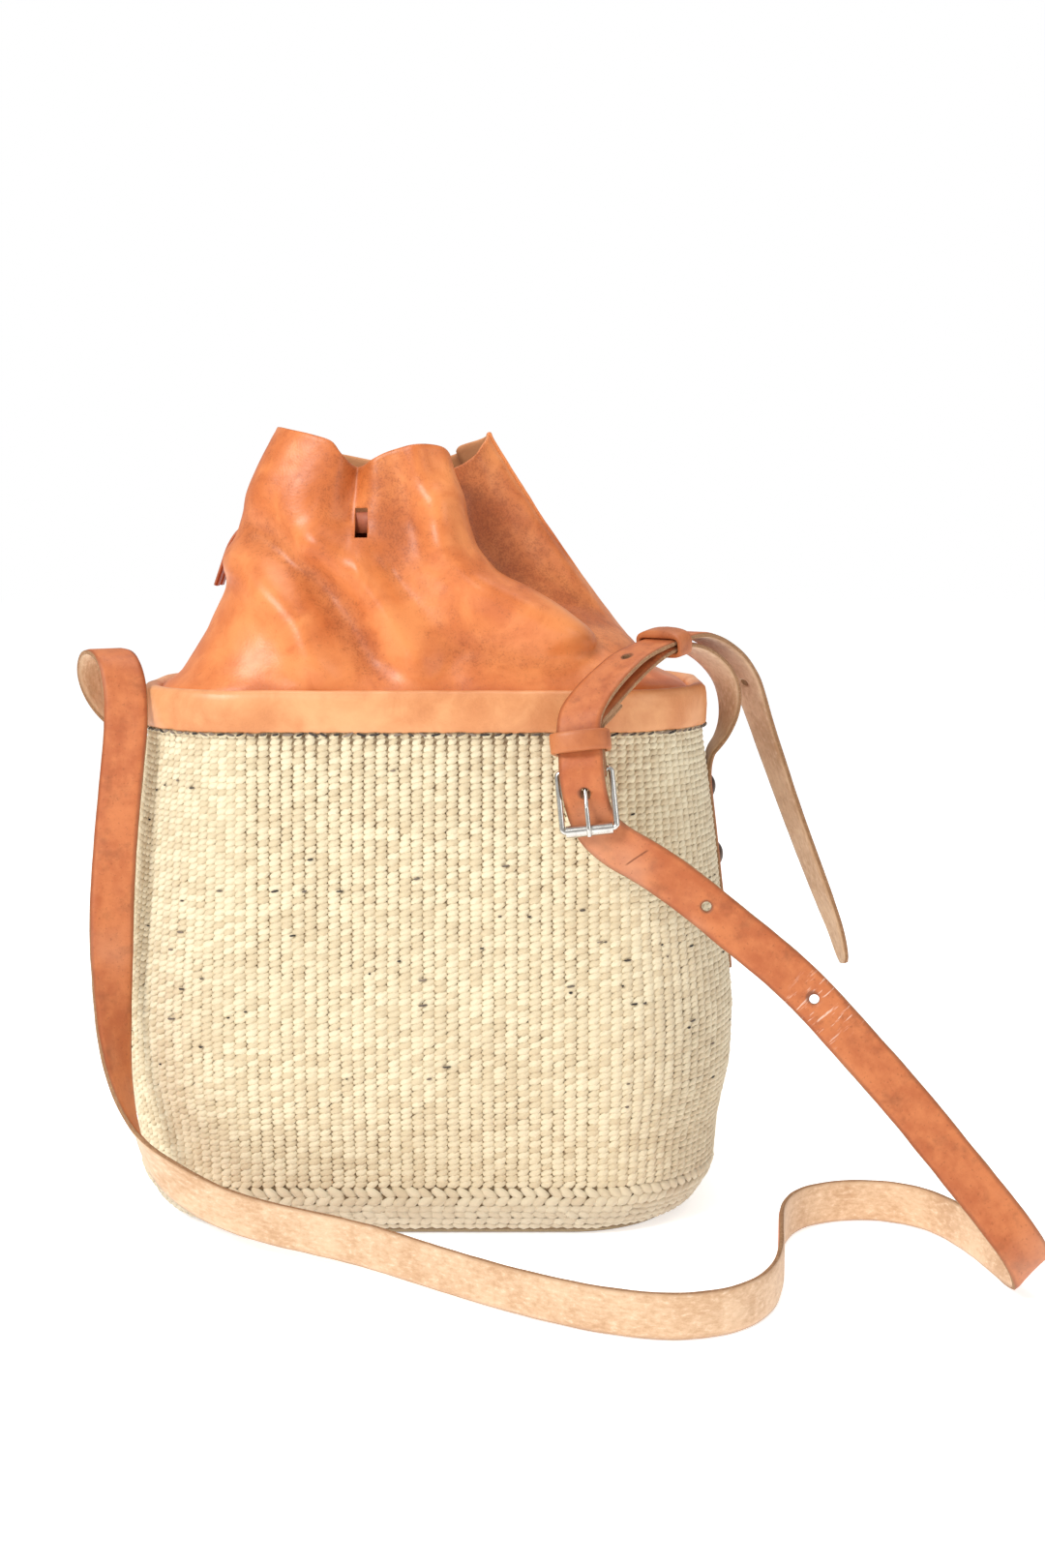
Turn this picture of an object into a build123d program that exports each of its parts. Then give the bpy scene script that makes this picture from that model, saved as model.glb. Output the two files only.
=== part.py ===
from build123d import *
import math
import os

# Bucket bag, millimetres, +Z up. Origin: middle of the woven base, on the ground.
# X runs across the bag, -Y is its front.

# woven basket
half_width = 149.0
half_depth = 90.0
corner_radius = 70.0
basket_height = 253.0
wall = 4.5
base_thickness = 5.0
rim_inset = 16.3
# (share of the height, inset from the widest outline), from the base up to where the rim band starts
body_shares = [(0, 16), (0.024, 10), (0.079, 8.5), (0.178, 6.5), (0.285, 1), (0.395, 0), (0.494, 2.5), (0.593, 6),
               (0.731, 10), (0.85, 14), (0.917, rim_inset), (1, rim_inset)]
body_profile = [(share * basket_height, inset) for share, inset in body_shares]
# how much narrower the base is than that, in x, and the height at which this ends
foot_pull = 10.0
foot_height = 0.079 * basket_height

# leather rim and stitching
rim_leather = 1.8
rim_band = 17.0
seat_gap = 0.1
stitch_size = 0.9
stitch_length = 5.0
stitch_pitch = 9.0

# collar: (height above the rim, centre x, inset in x and in y from the widest outline, corner radius), outer face
collar_leather = 2.0
collar_depth_in_rim = 20.0
collar_gap = 0.3
collar_shape = [(6, -3, 36, 26, 46), (27, -4.5, 50.5, 32, 42), (50, -8, 65, 40, 38),
                (77, -16, 76, 49, 34), (99, -18, 88, 52, 32), (122, -19, 102, 55, 29)]
collar_sections = [(basket_height + rise, centre, half_width - inset_x, half_depth - inset_y, radius)
                   for rise, centre, inset_x, inset_y, radius in collar_shape]

# drawstring
drawstring_width = 10.0
drawstring_thickness = 1.8
drawstring_height = collar_sections[3][0]
front_slot_x = -28.0
slot_width = 12.0
slot_clearance = 2.5
tail_ys = [8.0, 22.0]
tail_drop = [(1.0, 0.0), (-5.5, -3.0), (-9.5, -12.0), (-12.0, -26.0), (-16.0, -40.0)]

# straps
strap_width = 20.0
strap_thickness = 2.8
chape_thickness = 2.6
# heights below the rim's top edge of the wall, up both sides
tab_depths = [141, 128, 103, 68, 38]
tab_heights = [basket_height - depth for depth in tab_depths]
hole_diameter = 4.4
# distances of the spare holes from the hole that the prong is in
spare_holes = [-137.0, -77.0, 75.0, 126.0, 178.0]
tail_taper = 48.0
tail_tip_width = 5.0
taper_stations = 6
corner_share = 0.45
station_turn = 15.0

# rivets through each tab
rivet_depths = [119, 85, 51]
rivet_heights = [basket_height - depth for depth in rivet_depths]
rivet_post = 3.2
rivet_cap = 10.4
rivet_dome = 2.4
rivet_edge = 0.6
rivet_peen = 0.8
rivet_peen_diameter = 4.4
burr_diameter = 9.0
burr_thickness = 1.0
patch_thickness = 2.0
patch_width = strap_width + 6.0
hole_clearance = 0.1

# buckle
frame_wire = 2.6
frame_inner = strap_width + 1.4
frame_length = 26.0
frame_corner = 1.6
roller_diameter = 5.4
running_clearance = 0.05
roller_end_gap = 0.4
prong_wire = 2.0
prong_ring = 5.0
prong_ring_width = 3.0
prong_play = 0.3
prong_slot_length = 14.0
# prong profile in the buckle plane: (towards the heel bar, outwards)
prong_root = (24.4, 0.9)
prong_bend = (9.0, 4.3)
prong_tip = (-3.0, 3.0)

# keepers
keeper_leather = 2.2
keeper_width = 9.0
keeper_gap = 0.5
keeper_corner = 3.0
lower_keeper_from_roller = 38.5
lower_keeper_play = 1.4
# middle of each layer where the keepers hold it, from the buckle plane and the crest plane
lower_strap_level = 4.95
lower_chape_level = 1.45
crest_level = 1.5
crest_play = 0.6

# buckle plane: x across the strap, y from the roller to the heel bar, z outwards
buckle = Plane(origin=(75.9, -107, 196.8), x_dir=(0.985, -0.12, 0.125), z_dir=(-0.145, -0.9655, 0.215))
# plane across both layers under the upper keeper, z along the strap
crest = Plane(origin=(111.5, -56, 275), x_dir=(-0.7466, 0.665, 0), z_dir=(0.654, 0.734, 0.19))

# shoulder strap route after the left tab: (point, direction of one edge)
strap_route = [
    ((-148.0, -4.0, 230), (0.15, 1, 0)),
    ((-157.0, -10.0, 244), (0.35, 0.94, 0)),
    ((-159.0, -19.0, 260), (0.6, 0.8, 0)),
    ((-153.0, -30.0, 271), (0.8, 0.6, 0)),
    ((-142.5, -43.0, 269), (0.88, 0.47, 0)),
    ((-137.0, -52.0, 255), (0.96, 0.25, 0)),
    ((-136.0, -58.0, 235), (1, 0.05, 0)),
    ((-138.6, -63.0, 208), (1, 0, 0)),
    ((-141.0, -68.0, 178), (1, 0.05, 0)),
    ((-142.0, -74.0, 148), (0.95, 0.3, 0)),
    ((-141.0, -80.0, 120), (0.75, 0.66, 0)),
    ((-137.0, -86.0, 94), (0.55, 0.83, 0)),
    ((-129.5, -91.0, 73), (0.25, 0.96, -0.1)),
    ((-117.5, -95.5, 55), (0, 0.85, -0.5)),
    ((-100.0, -100.0, 41.5), (-0.15, 0.45, -0.88)),
    ((-78.0, -105.5, 30), (-0.3, 0.2, -0.93)),
    ((-52.0, -113.0, 21), (-0.3, 0.1, -0.95)),
    ((-26.0, -123.5, 15), (-0.2, 0.05, -0.98)),
    ((0.0, -136.5, 12), (-0.1, 0, -1)),
    ((27.0, -154.0, 10.6), (0, 0, -1)),
    ((55.0, -172.0, 10.5), (0, 0, -1)),
    ((85.0, -187.0, 10.5), (0, 0, -1)),
    ((113.0, -191.5, 10.5), (0, 0, -1)),
    ((137.0, -182.5, 10.5), (0, 0, -1)),
    ((152.0, -163.0, 10.5), (0, 0, -1)),
    ((159.0, -138.0, 10.5), (0, 0, -1)),
    ((162.5, -110.0, 10.5), (0, 0, -1)),
    ((166.0, -88.0, 10.5), (0, 0, -1)),
    ((176.0, -69.0, 10.5), (0, 0, -1)),
    ((195.0, -59.0, 10.5), (0, 0, -1)),
    ((218.0, -58.5, 10.5), (0, 0, -1)),
    ((237.0, -69.5, 10.5), (0, 0, -1)),
    ((248.0, -92.0, 10.6), (-0.05, 0, -1)),
    ((255.5, -117.0, 10.8), (-0.25, -0.05, -0.96)),
    ((260.5, -138.0, 11.0), (-0.5, -0.1, -0.86)),
    ((263.0, -153.0, 13.0), (-0.7, -0.1, -0.7)),
    ((259.0, -161.0, 24.0), (-0.78, -0.1, -0.62)),
    ((249.0, -158.0, 38.0), (-0.8, 0, -0.6)),
    ((234.0, -148.5, 56.0), (-0.8, 0, -0.62)),
    ((213.5, -137.5, 81.0), (-0.78, 0, -0.64)),
    ((190.0, -128.5, 107.0), (-0.74, 0, -0.68)),
    ((166.0, -121.5, 133.0), (-0.68, 0, -0.74)),
    ((140.0, -115.5, 153.5), (-0.62, 0, -0.78)),
    ((117.0, -111.5, 172.0), (-0.66, 0, -0.75)),
    ((99.5, -107.0, 183.2), (-0.72, 0, -0.69)),
    ((88.0, -103.5, 188.8), (-0.84, 0.05, -0.54)),
    ((79.1, -102.0, 196.5), (-0.94, 0.08, -0.32)),
    ((75.0, -101.8, 205.8), (-0.985, 0.12, -0.125)),
    ((72.2, -108.0, 220.5), (-0.985, 0.12, -0.125)),
    ((72.0, -104.2, 229.8), (-0.985, 0.12, -0.125)),
    ((70.6, -100.6, 244.3), (-0.98, 0.18, -0.12)),
    ((75.0, -94.5, 252.5), (-0.95, 0.3, -0.1)),
    ((83.5, -85.5, 261.5), (-0.88, 0.46, -0.06)),
    ((94.5, -74.0, 270.5), (-0.8, 0.6, -0.02)),
    ((106.1, -62.1, 275.0), (-0.7466, 0.665, 0)),
    ((116.5, -50.3, 278.0), (-0.7466, 0.665, 0)),
    ((126.5, -39.0, 279.0), (-0.74, 0.67, 0)),
    ((136.5, -27.0, 274.8), (-0.7, 0.7, 0)),
    ((147.0, -14.5, 267.0), (-0.64, 0.76, -0.02)),
    ((155.0, -5.0, 256.0), (-0.58, 0.81, -0.05)),
    ((160.5, 3.0, 243.0), (-0.5, 0.86, -0.08)),
    ((166.5, 8.5, 227.0), (-0.45, 0.88, -0.1)),
    ((173.5, 12.0, 208.5), (-0.42, 0.9, -0.1)),
    ((181.5, 14.0, 187.0), (-0.38, 0.92, -0.1)),
    ((190.5, 15.0, 164.0), (-0.35, 0.93, -0.1)),
    ((200.0, 15.5, 140.0), (-0.32, 0.94, -0.1)),
    ((207.0, 15.2, 122.0), (-0.3, 0.95, -0.1)),
    ((210.0, 14.5, 109.0), (-0.3, 0.95, -0.1)),
]

# buckle strap route after the right tab, up to the heel bar
chape_route = [
    ((144.5, -4.0, 228), (0.15, -0.98, 0)),
    ((147.0, -9.5, 242), (0.35, -0.94, 0)),
    ((144.5, -17.5, 255), (0.5, -0.87, 0)),
    ((137.0, -27.0, 265), (0.62, -0.78, 0)),
    ((127.0, -38.5, 272), (0.71, -0.7, 0)),
    ((116.9, -49.9, 275.1), (0.7466, -0.665, 0)),
    ((106.5, -61.7, 272.0), (0.7466, -0.665, 0)),
    ((97.0, -71.5, 265.8), (0.8, -0.6, 0.02)),
    ((87.0, -81.8, 257.5), (0.88, -0.46, 0.06)),
    ((77.8, -91.0, 249.0), (0.95, -0.3, 0.1)),
    ((71.1, -97.5, 243.1), (0.98, -0.18, 0.12)),
    ((72.4, -100.5, 230.5), (0.985, -0.12, 0.125)),
]
# its end, folded back behind it from the heel bar
fold_back_route = [
    ((72.8, -97.7, 229.9), (0.985, -0.12, 0.125)),
    ((71.7, -95.1, 241.4), (0.98, -0.18, 0.12)),
    ((78.5, -89.5, 246.6), (0.95, -0.3, 0.1)),
    ((83.2, -84.9, 250.9), (0.9, -0.4, 0.08)),
]

os.makedirs("parts", exist_ok=True)


def inset_at(z):
    """Inset of the basket's outer face from the widest outline, at a height."""
    for (z0, inset0), (z1, inset1) in zip(body_profile, body_profile[1:]):
        if z <= z1:
            return inset0 + (inset1 - inset0) * (z - z0) / (z1 - z0)
    return body_profile[-1][1]


def outline(z, inset):
    """Body outline at a height, shrunk all round by an inset, and a little more at its two ends by the ground."""
    pull = foot_pull * max(0, 1 - z / foot_height)
    with BuildSketch(Plane.XY.offset(z)) as sketch:
        RectangleRounded(2 * (half_width - inset - pull), 2 * (half_depth - inset), corner_radius - inset)
    return sketch.sketch


def collar_outline(section, inset):
    z, centre, half_x, half_y, radius = section
    with BuildSketch(Plane.XY.offset(z)) as sketch:
        with Locations((centre, 0)):
            RectangleRounded(2 * (half_x - inset), 2 * (half_y - inset), radius - inset)
    return sketch.sketch


def collar_section_at(z):
    for low, high in zip(collar_sections, collar_sections[1:]):
        if z <= high[0]:
            part = (z - low[0]) / (high[0] - low[0])
            return tuple(a + (b - a) * part for a, b in zip(low, high))
    return collar_sections[-1]


def wall_frame(side, z, offset=0.0):
    """Plane on the side wall at mid depth, z outwards, offset along the wall's normal."""
    slope = (inset_at(z + 0.5) - inset_at(z - 0.5)) / 1.0
    normal = Vector(side, 0, slope).normalized()
    point = Vector(side * (half_width - inset_at(z)), 0, z) + normal * offset
    return Plane(origin=point, x_dir=(0, 1, 0), z_dir=normal)


def rounded_path(points, shares):
    """Straight runs joined by arcs that use a share of the shorter run at each corner."""
    vectors = [Vector(*point) for point in points]
    radii = []
    for before, corner, after, share in zip(vectors, vectors[1:], vectors[2:], shares):
        half_turn = math.radians((corner - before).get_angle(after - corner)) / 2
        run = min((corner - before).length, (after - corner).length)
        radii.append(share * run / math.tan(half_turn))
    with BuildLine() as line:
        FilletPolyline(*vectors, radius=radii)
    return line.wire(), radii


def strap_line(route, shares=None):
    """Rounded path of a route, and the distance along it that belongs to each route point."""
    shares = shares or [corner_share] * (len(route) - 2)
    path, radii = rounded_path([point for point, across in route], shares)
    marks = [0.0]
    travelled = 0.0
    for edge in path.order_edges():
        if edge.geom_type == GeomType.CIRCLE:
            marks.append(travelled + edge.length / 2)
        travelled += edge.length
    marks.append(path.length)
    return path, marks, radii


def plane_at(line, route, stop):
    """Plane square to a strap at a distance along it: x across the strap, y out of its grain side."""
    path, marks, radii = line
    k = next(i for i in range(1, len(marks)) if stop <= marks[i] + 1e-6)
    part = (stop - marks[k - 1]) / (marks[k] - marks[k - 1])
    across = Vector(*route[k - 1][1]) * (1 - part) + Vector(*route[k][1]) * part
    tangent = path.tangent_at(stop, position_mode=PositionMode.LENGTH)
    across = across - tangent * across.dot(tangent)
    centre = path.position_at(stop, position_mode=PositionMode.LENGTH)
    return Plane(origin=centre, x_dir=across, z_dir=tangent)


def distance_to(line, point):
    """Distance along a path to the spot nearest a point, to the millimetre."""
    steps = range(math.floor(line[0].length))
    return min(steps, key=lambda s: (line[0].position_at(s, position_mode=PositionMode.LENGTH) - point).length)


def ribbon(line, route, width, thickness, taper=0.0, tip_width=0.0):
    """Flat strap: rectangles square to the rounded path, joined by ruled faces."""
    path = line[0]
    stops = []
    travelled = 0.0
    for edge in path.order_edges():
        bent = edge.geom_type == GeomType.CIRCLE
        turn = math.degrees(edge.length / edge.radius) if bent else 0
        pieces = max(2, math.ceil(turn / station_turn)) if bent else 1
        stops += [travelled + edge.length * k / pieces for k in range(pieces)]
        travelled += edge.length
    stops.append(path.length)
    if taper:
        stops = [stop for stop in stops if stop < path.length - taper]
        stops += [path.length - taper * (1 - k / taper_stations) ** 2 for k in range(taper_stations + 1)]
    with BuildPart() as strap:
        for stop in stops:
            here = width
            left = path.length - stop
            if left < taper:
                here = tip_width + (width - tip_width) * math.sqrt(1 - (1 - left / taper) ** 2)
            with BuildSketch(plane_at(line, route, stop)):
                Rectangle(here, thickness)
        loft(ruled=True)
    return strap.part


def tab_route(side, offset):
    """Points up a side wall, at the tab heights, offset from the wall."""
    return [(tuple(wall_frame(side, z, offset).origin), (0, -side, 0)) for z in tab_heights]


def at_buckle(across, up, out):
    return buckle.from_local_coords(Vector(across, up, out))


def save(name, part):
    part.label = name
    export_step(part, f"parts/{name}.step")


# --- basket ------------------------------------------------------------------
with BuildPart() as woven_basket:
    loft([outline(z, inset) for z, inset in body_profile], ruled=True)
    inner = [(base_thickness, inset_at(base_thickness))] + [row for row in body_profile if row[0] > base_thickness]
    loft([outline(z, inset + wall) for z, inset in inner], ruled=True, mode=Mode.SUBTRACT)
    for side in (-1, 1):
        for z in rivet_heights:
            with BuildSketch(wall_frame(side, z, 1)):
                Circle(rivet_post / 2 + hole_clearance)
            extrude(amount=-wall - 3, mode=Mode.SUBTRACT)
woven_basket.part.label = "woven_basket"
export_step(woven_basket.part, "parts/woven_basket.step")

# --- rim binding: a leather strip folded over the top edge ---------------------
rim_bottom = basket_height - rim_band
rim_top = basket_height + seat_gap + rim_leather
rim_outer = rim_inset - seat_gap - rim_leather
rim_inner = rim_inset + wall + seat_gap + rim_leather
with BuildPart() as rim_binding:
    with BuildSketch(Plane.XY.offset(rim_bottom)):
        RectangleRounded(2 * (half_width - rim_outer), 2 * (half_depth - rim_outer), corner_radius - rim_outer)
        RectangleRounded(2 * (half_width - rim_inner), 2 * (half_depth - rim_inner), corner_radius - rim_inner,
                         mode=Mode.SUBTRACT)
    extrude(amount=rim_top - rim_bottom)
    fillet(rim_binding.faces().sort_by(Axis.Z)[-1].edges(), radius=rim_leather * 0.9)
    groove_out = rim_inset - seat_gap
    groove_in = rim_inset + wall + seat_gap
    with BuildSketch(Plane.XY.offset(rim_bottom)):
        RectangleRounded(2 * (half_width - groove_out), 2 * (half_depth - groove_out), corner_radius - groove_out)
        RectangleRounded(2 * (half_width - groove_in), 2 * (half_depth - groove_in), corner_radius - groove_in,
                         mode=Mode.SUBTRACT)
    extrude(amount=rim_band + seat_gap, mode=Mode.SUBTRACT)
rim_binding.part.label = "rim_binding"
export_step(rim_binding.part, "parts/rim_binding.step")


def stitch_ring(inset, z, inwards):
    """Upright stitches standing on a rim face, spaced round the outline."""
    ring = outline(z, inset).wire()
    count = round(ring.length / stitch_pitch)
    with BuildPart() as stitches:
        for k in range(count):
            spot = ring.position_at(k / count)
            along = ring.tangent_at(k / count)
            outwards = along.cross(Vector(0, 0, 1)).normalized()
            if outwards.dot(Vector(spot.X, spot.Y, 0)) < 0:
                outwards = outwards * -1
            face = outwards * (-1 if inwards else 1)
            with BuildSketch(Plane(origin=spot, x_dir=(0, 0, 1), z_dir=face)):
                Rectangle(stitch_length, stitch_size)
            extrude(amount=stitch_size)
    return stitches.part


save("rim_stitching", stitch_ring(rim_outer - seat_gap, rim_bottom + stitch_length, False))

# --- collar: a soft sleeve sewn inside the rim, gathered at the neck -------------
collar_outer = rim_inner + collar_gap
collar_bottom = basket_height - collar_depth_in_rim
with BuildPart() as collar:
    lower = [outline(z, collar_outer) for z in (collar_bottom, basket_height)]
    loft(lower + [collar_outline(section, 0) for section in collar_sections], ruled=True)
    lower = [outline(z, collar_outer + collar_leather) for z in (collar_bottom, basket_height)]
    loft(lower + [collar_outline(section, collar_leather) for section in collar_sections],
         ruled=True, mode=Mode.SUBTRACT)
    slot_height = drawstring_width + slot_clearance
    with BuildSketch(Plane.XZ.offset(-half_depth + corner_radius)):
        with Locations((front_slot_x, drawstring_height)):
            Rectangle(slot_width, slot_height)
    extrude(amount=half_depth, mode=Mode.SUBTRACT)
    with BuildSketch(Plane.YZ.offset(collar_sections[3][1])):
        for y in tail_ys:
            with Locations((y, drawstring_height)):
                Rectangle(slot_width, slot_height)
    extrude(amount=-half_width, mode=Mode.SUBTRACT)
collar.part.label = "collar"
export_step(collar.part, "parts/collar.step")

save("collar_stitching", stitch_ring(collar_outer + collar_leather + seat_gap, rim_bottom + stitch_length, True))

# --- drawstring ------------------------------------------------------------------
neck_low = drawstring_height - drawstring_width / 2
neck_high = drawstring_height + drawstring_width / 2
thong_inset = collar_leather + collar_gap
with BuildPart() as drawstring:
    sections = [collar_section_at(neck_low), collar_section_at(drawstring_height), collar_section_at(neck_high)]
    loft([collar_outline(section, thong_inset) for section in sections], ruled=True)
    loft([collar_outline(section, thong_inset + drawstring_thickness) for section in sections],
         ruled=True, mode=Mode.SUBTRACT)
    neck = collar_section_at(drawstring_height)
    exit_x = neck[1] - neck[2] + thong_inset
    for y in tail_ys:
        tail_route = [((exit_x + 1 + dx, y, drawstring_height + dz), (0, 1, 0)) for dx, dz in tail_drop]
        add(ribbon(strap_line(tail_route), tail_route, drawstring_width, drawstring_thickness))
drawstring.part.label = "drawstring"
export_step(drawstring.part, "parts/drawstring.step")

# --- shoulder strap ----------------------------------------------------------------
strap_seat = seat_gap + strap_thickness / 2
shoulder_route = tab_route(-1, strap_seat) + strap_route
shoulder_line = strap_line(shoulder_route)
prong_direction = at_buckle(0, *prong_bend) - at_buckle(0, *prong_root)
with BuildPart() as shoulder_strap:
    add(ribbon(shoulder_line, shoulder_route, strap_width, strap_thickness, tail_taper, tail_tip_width))
    for z in rivet_heights:
        with BuildSketch(wall_frame(-1, z, -1)):
            Circle(rivet_post / 2 + hole_clearance)
        extrude(amount=strap_thickness + 3, mode=Mode.SUBTRACT)
    with BuildSketch(Plane(origin=at_buckle(0, *prong_root), x_dir=buckle.x_dir, z_dir=prong_direction)):
        Circle(hole_diameter / 2)
    extrude(amount=prong_direction.length - 1, mode=Mode.SUBTRACT)
    prong_stop = distance_to(shoulder_line, (at_buckle(0, *prong_root) + at_buckle(0, *prong_bend)) / 2)
    for spacing in spare_holes:
        square = plane_at(shoulder_line, shoulder_route, prong_stop + spacing)
        with BuildSketch(Plane(origin=square.origin, x_dir=square.x_dir, z_dir=square.y_dir).offset(-strap_thickness)):
            Circle(hole_diameter / 2)
        extrude(amount=2 * strap_thickness, mode=Mode.SUBTRACT)
shoulder_strap.part.label = "shoulder_strap"
export_step(shoulder_strap.part, "parts/shoulder_strap.step")

# --- buckle strap, riveted to the right side and folded round the heel bar ----------
chape_seat = seat_gap + chape_thickness / 2
fold_radius = frame_wire / 2 + running_clearance + chape_thickness / 2
fold_run = frame_length + 3.5
buckle_across = tuple(buckle.x_dir)
fold = [(at_buckle(0, fold_run, fold_radius), buckle_across),
        (at_buckle(0, frame_length - fold_radius, fold_radius), buckle_across),
        (at_buckle(0, frame_length - fold_radius, -fold_radius), buckle_across),
        (at_buckle(0, fold_run, -fold_radius), buckle_across)]
fold = [(tuple(point), across) for point, across in fold]
buckle_route = tab_route(1, chape_seat) + chape_route + fold + fold_back_route
fold_at = len(tab_heights) + len(chape_route)
shares = [0.499 if k in (fold_at, fold_at + 1) else corner_share for k in range(len(buckle_route) - 2)]
buckle_line = strap_line(buckle_route, shares)
with BuildPart() as buckle_strap:
    add(ribbon(buckle_line, buckle_route, strap_width, chape_thickness))
    for z in rivet_heights:
        with BuildSketch(wall_frame(1, z, -1)):
            Circle(rivet_post / 2 + hole_clearance)
        extrude(amount=chape_thickness + 3, mode=Mode.SUBTRACT)
    with BuildSketch(buckle.offset(-2 * fold_radius)):
        with Locations((0, frame_length)):
            SlotOverall(prong_slot_length, prong_ring_width + 2 * prong_play, rotation=90)
    extrude(amount=4 * fold_radius, mode=Mode.SUBTRACT)
buckle_strap.part.label = "buckle_strap"
export_step(buckle_strap.part, "parts/buckle_strap.step")

# --- buckle -------------------------------------------------------------------------
side_bar = frame_inner / 2 + frame_wire / 2
with BuildPart() as buckle_frame:
    corners = [(-side_bar, 0), (side_bar, 0), (side_bar, frame_length), (-side_bar, frame_length)]
    with BuildLine(buckle) as frame_line:
        FilletPolyline(corners, radius=frame_corner, close=True)
    start = frame_line.line @ 0
    with BuildSketch(Plane(origin=start, x_dir=buckle.z_dir, z_dir=frame_line.line % 0)):
        Circle(frame_wire / 2)
    sweep()
buckle_frame.part.label = "buckle_frame"
export_step(buckle_frame.part, "parts/buckle_frame.step")

roller_length = frame_inner - 2 * roller_end_gap
with BuildPart() as buckle_roller:
    with BuildSketch(Plane(origin=at_buckle(-roller_length / 2, 0, 0), x_dir=buckle.y_dir, z_dir=buckle.x_dir)):
        Circle(roller_diameter / 2)
        Circle(frame_wire / 2 + running_clearance, mode=Mode.SUBTRACT)
    extrude(amount=roller_length)
buckle_roller.part.label = "buckle_roller"
export_step(buckle_roller.part, "parts/buckle_roller.step")

roller_top = (0, roller_diameter / 2 + prong_wire / 2 + 3 * running_clearance)
with BuildPart() as buckle_prong:
    ring_start = at_buckle(-prong_ring_width / 2, frame_length, 0)
    with BuildSketch(Plane(origin=ring_start, x_dir=buckle.y_dir, z_dir=buckle.x_dir)):
        Circle(prong_ring / 2)
        Circle(frame_wire / 2 + running_clearance, mode=Mode.SUBTRACT)
    extrude(amount=prong_ring_width)
    prong_points = [at_buckle(0, *spot) for spot in (prong_root, prong_bend, roller_top, prong_tip)]
    with BuildLine() as prong_line:
        FilletPolyline(*prong_points, radius=prong_wire)
    with BuildSketch(Plane(origin=prong_points[0], x_dir=buckle.x_dir, z_dir=prong_direction)):
        Circle(prong_wire / 2)
    sweep(path=prong_line.line)
buckle_prong.part.label = "buckle_prong"
export_step(buckle_prong.part, "parts/buckle_prong.step")


def keeper(plane, low, high):
    """Leather loop round the strap layers, whose faces lie between two levels of its plane."""
    inner_width = strap_width + 2 * keeper_gap
    with BuildPart() as loop:
        with BuildSketch(plane.offset(-keeper_width / 2)):
            with Locations((0, (low + high) / 2)):
                RectangleRounded(inner_width + 2 * keeper_leather, high - low + 2 * keeper_leather, keeper_corner)
                RectangleRounded(inner_width, high - low, keeper_corner - keeper_leather, mode=Mode.SUBTRACT)
        extrude(amount=keeper_width)
    return loop.part


lower_plane = Plane(origin=at_buckle(0, lower_keeper_from_roller, 0), x_dir=-buckle.x_dir, z_dir=buckle.y_dir)
save("lower_keeper", keeper(lower_plane, -lower_chape_level - chape_thickness / 2 - lower_keeper_play,
                            lower_strap_level + strap_thickness / 2 + lower_keeper_play / 3))
save("upper_keeper", keeper(crest, -crest_level - chape_thickness / 2 - crest_play,
                            crest_level + strap_thickness / 2 + crest_play))

# --- rivets, burrs and backing patches ---------------------------------------------
layers_inside = wall + seat_gap + patch_thickness + running_clearance
for side, name, leather in ((-1, "left", strap_thickness), (1, "right", chape_thickness)):
    patch_route = tab_route(side, -wall - seat_gap - patch_thickness / 2)
    with BuildPart() as patch:
        add(ribbon(strap_line(patch_route), patch_route, patch_width, patch_thickness))
        for z in rivet_heights:
            with BuildSketch(wall_frame(side, z, -wall - patch_thickness - 2)):
                Circle(rivet_post / 2 + hole_clearance)
            extrude(amount=patch_thickness + 3, mode=Mode.SUBTRACT)
    save(f"backing_patch_{name}", patch.part)
    for number, z in enumerate(rivet_heights, 1):
        spot = wall_frame(side, z)
        cap = seat_gap + leather + running_clearance
        end = -layers_inside - burr_thickness - running_clearance
        dome = rivet_dome - rivet_edge
        sphere = (rivet_cap ** 2 / 4 + dome ** 2) / (2 * dome)
        with BuildPart() as rivet:
            with BuildSketch(spot.offset(cap)):
                Circle(rivet_cap / 2)
            extrude(amount=rivet_edge)
            with Locations(spot.offset(cap + rivet_edge)):
                Sphere(sphere, arc_size1=math.degrees(math.asin((sphere - dome) / sphere)),
                       align=(Align.CENTER, Align.CENTER, Align.MIN))
            with BuildSketch(spot.offset(end)):
                Circle(rivet_post / 2)
            extrude(amount=cap - end)
            with BuildSketch(spot.offset(end)):
                Circle(rivet_peen_diameter / 2)
            extrude(amount=-rivet_peen)
        save(f"rivet_{name}_{number}", rivet.part)
        with BuildPart() as burr:
            with BuildSketch(wall_frame(side, z, -layers_inside)):
                Circle(burr_diameter / 2)
                Circle(rivet_post / 2 + running_clearance, mode=Mode.SUBTRACT)
            extrude(amount=-burr_thickness)
        save(f"burr_{name}_{number}", burr.part)

print("strap length", round(shoulder_line[0].length), "smallest radii",
      sorted(round(r, 1) for r in shoulder_line[2])[:6])
print("buckle strap length", round(buckle_line[0].length), "smallest radii",
      sorted(round(r, 1) for r in buckle_line[2])[:6])
print("strap volume over section times length", round(shoulder_strap.part.volume
      / (strap_width * strap_thickness * shoulder_line[0].length), 3))
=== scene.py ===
import math
import bpy
import numpy as np
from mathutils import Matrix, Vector, noise


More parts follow.
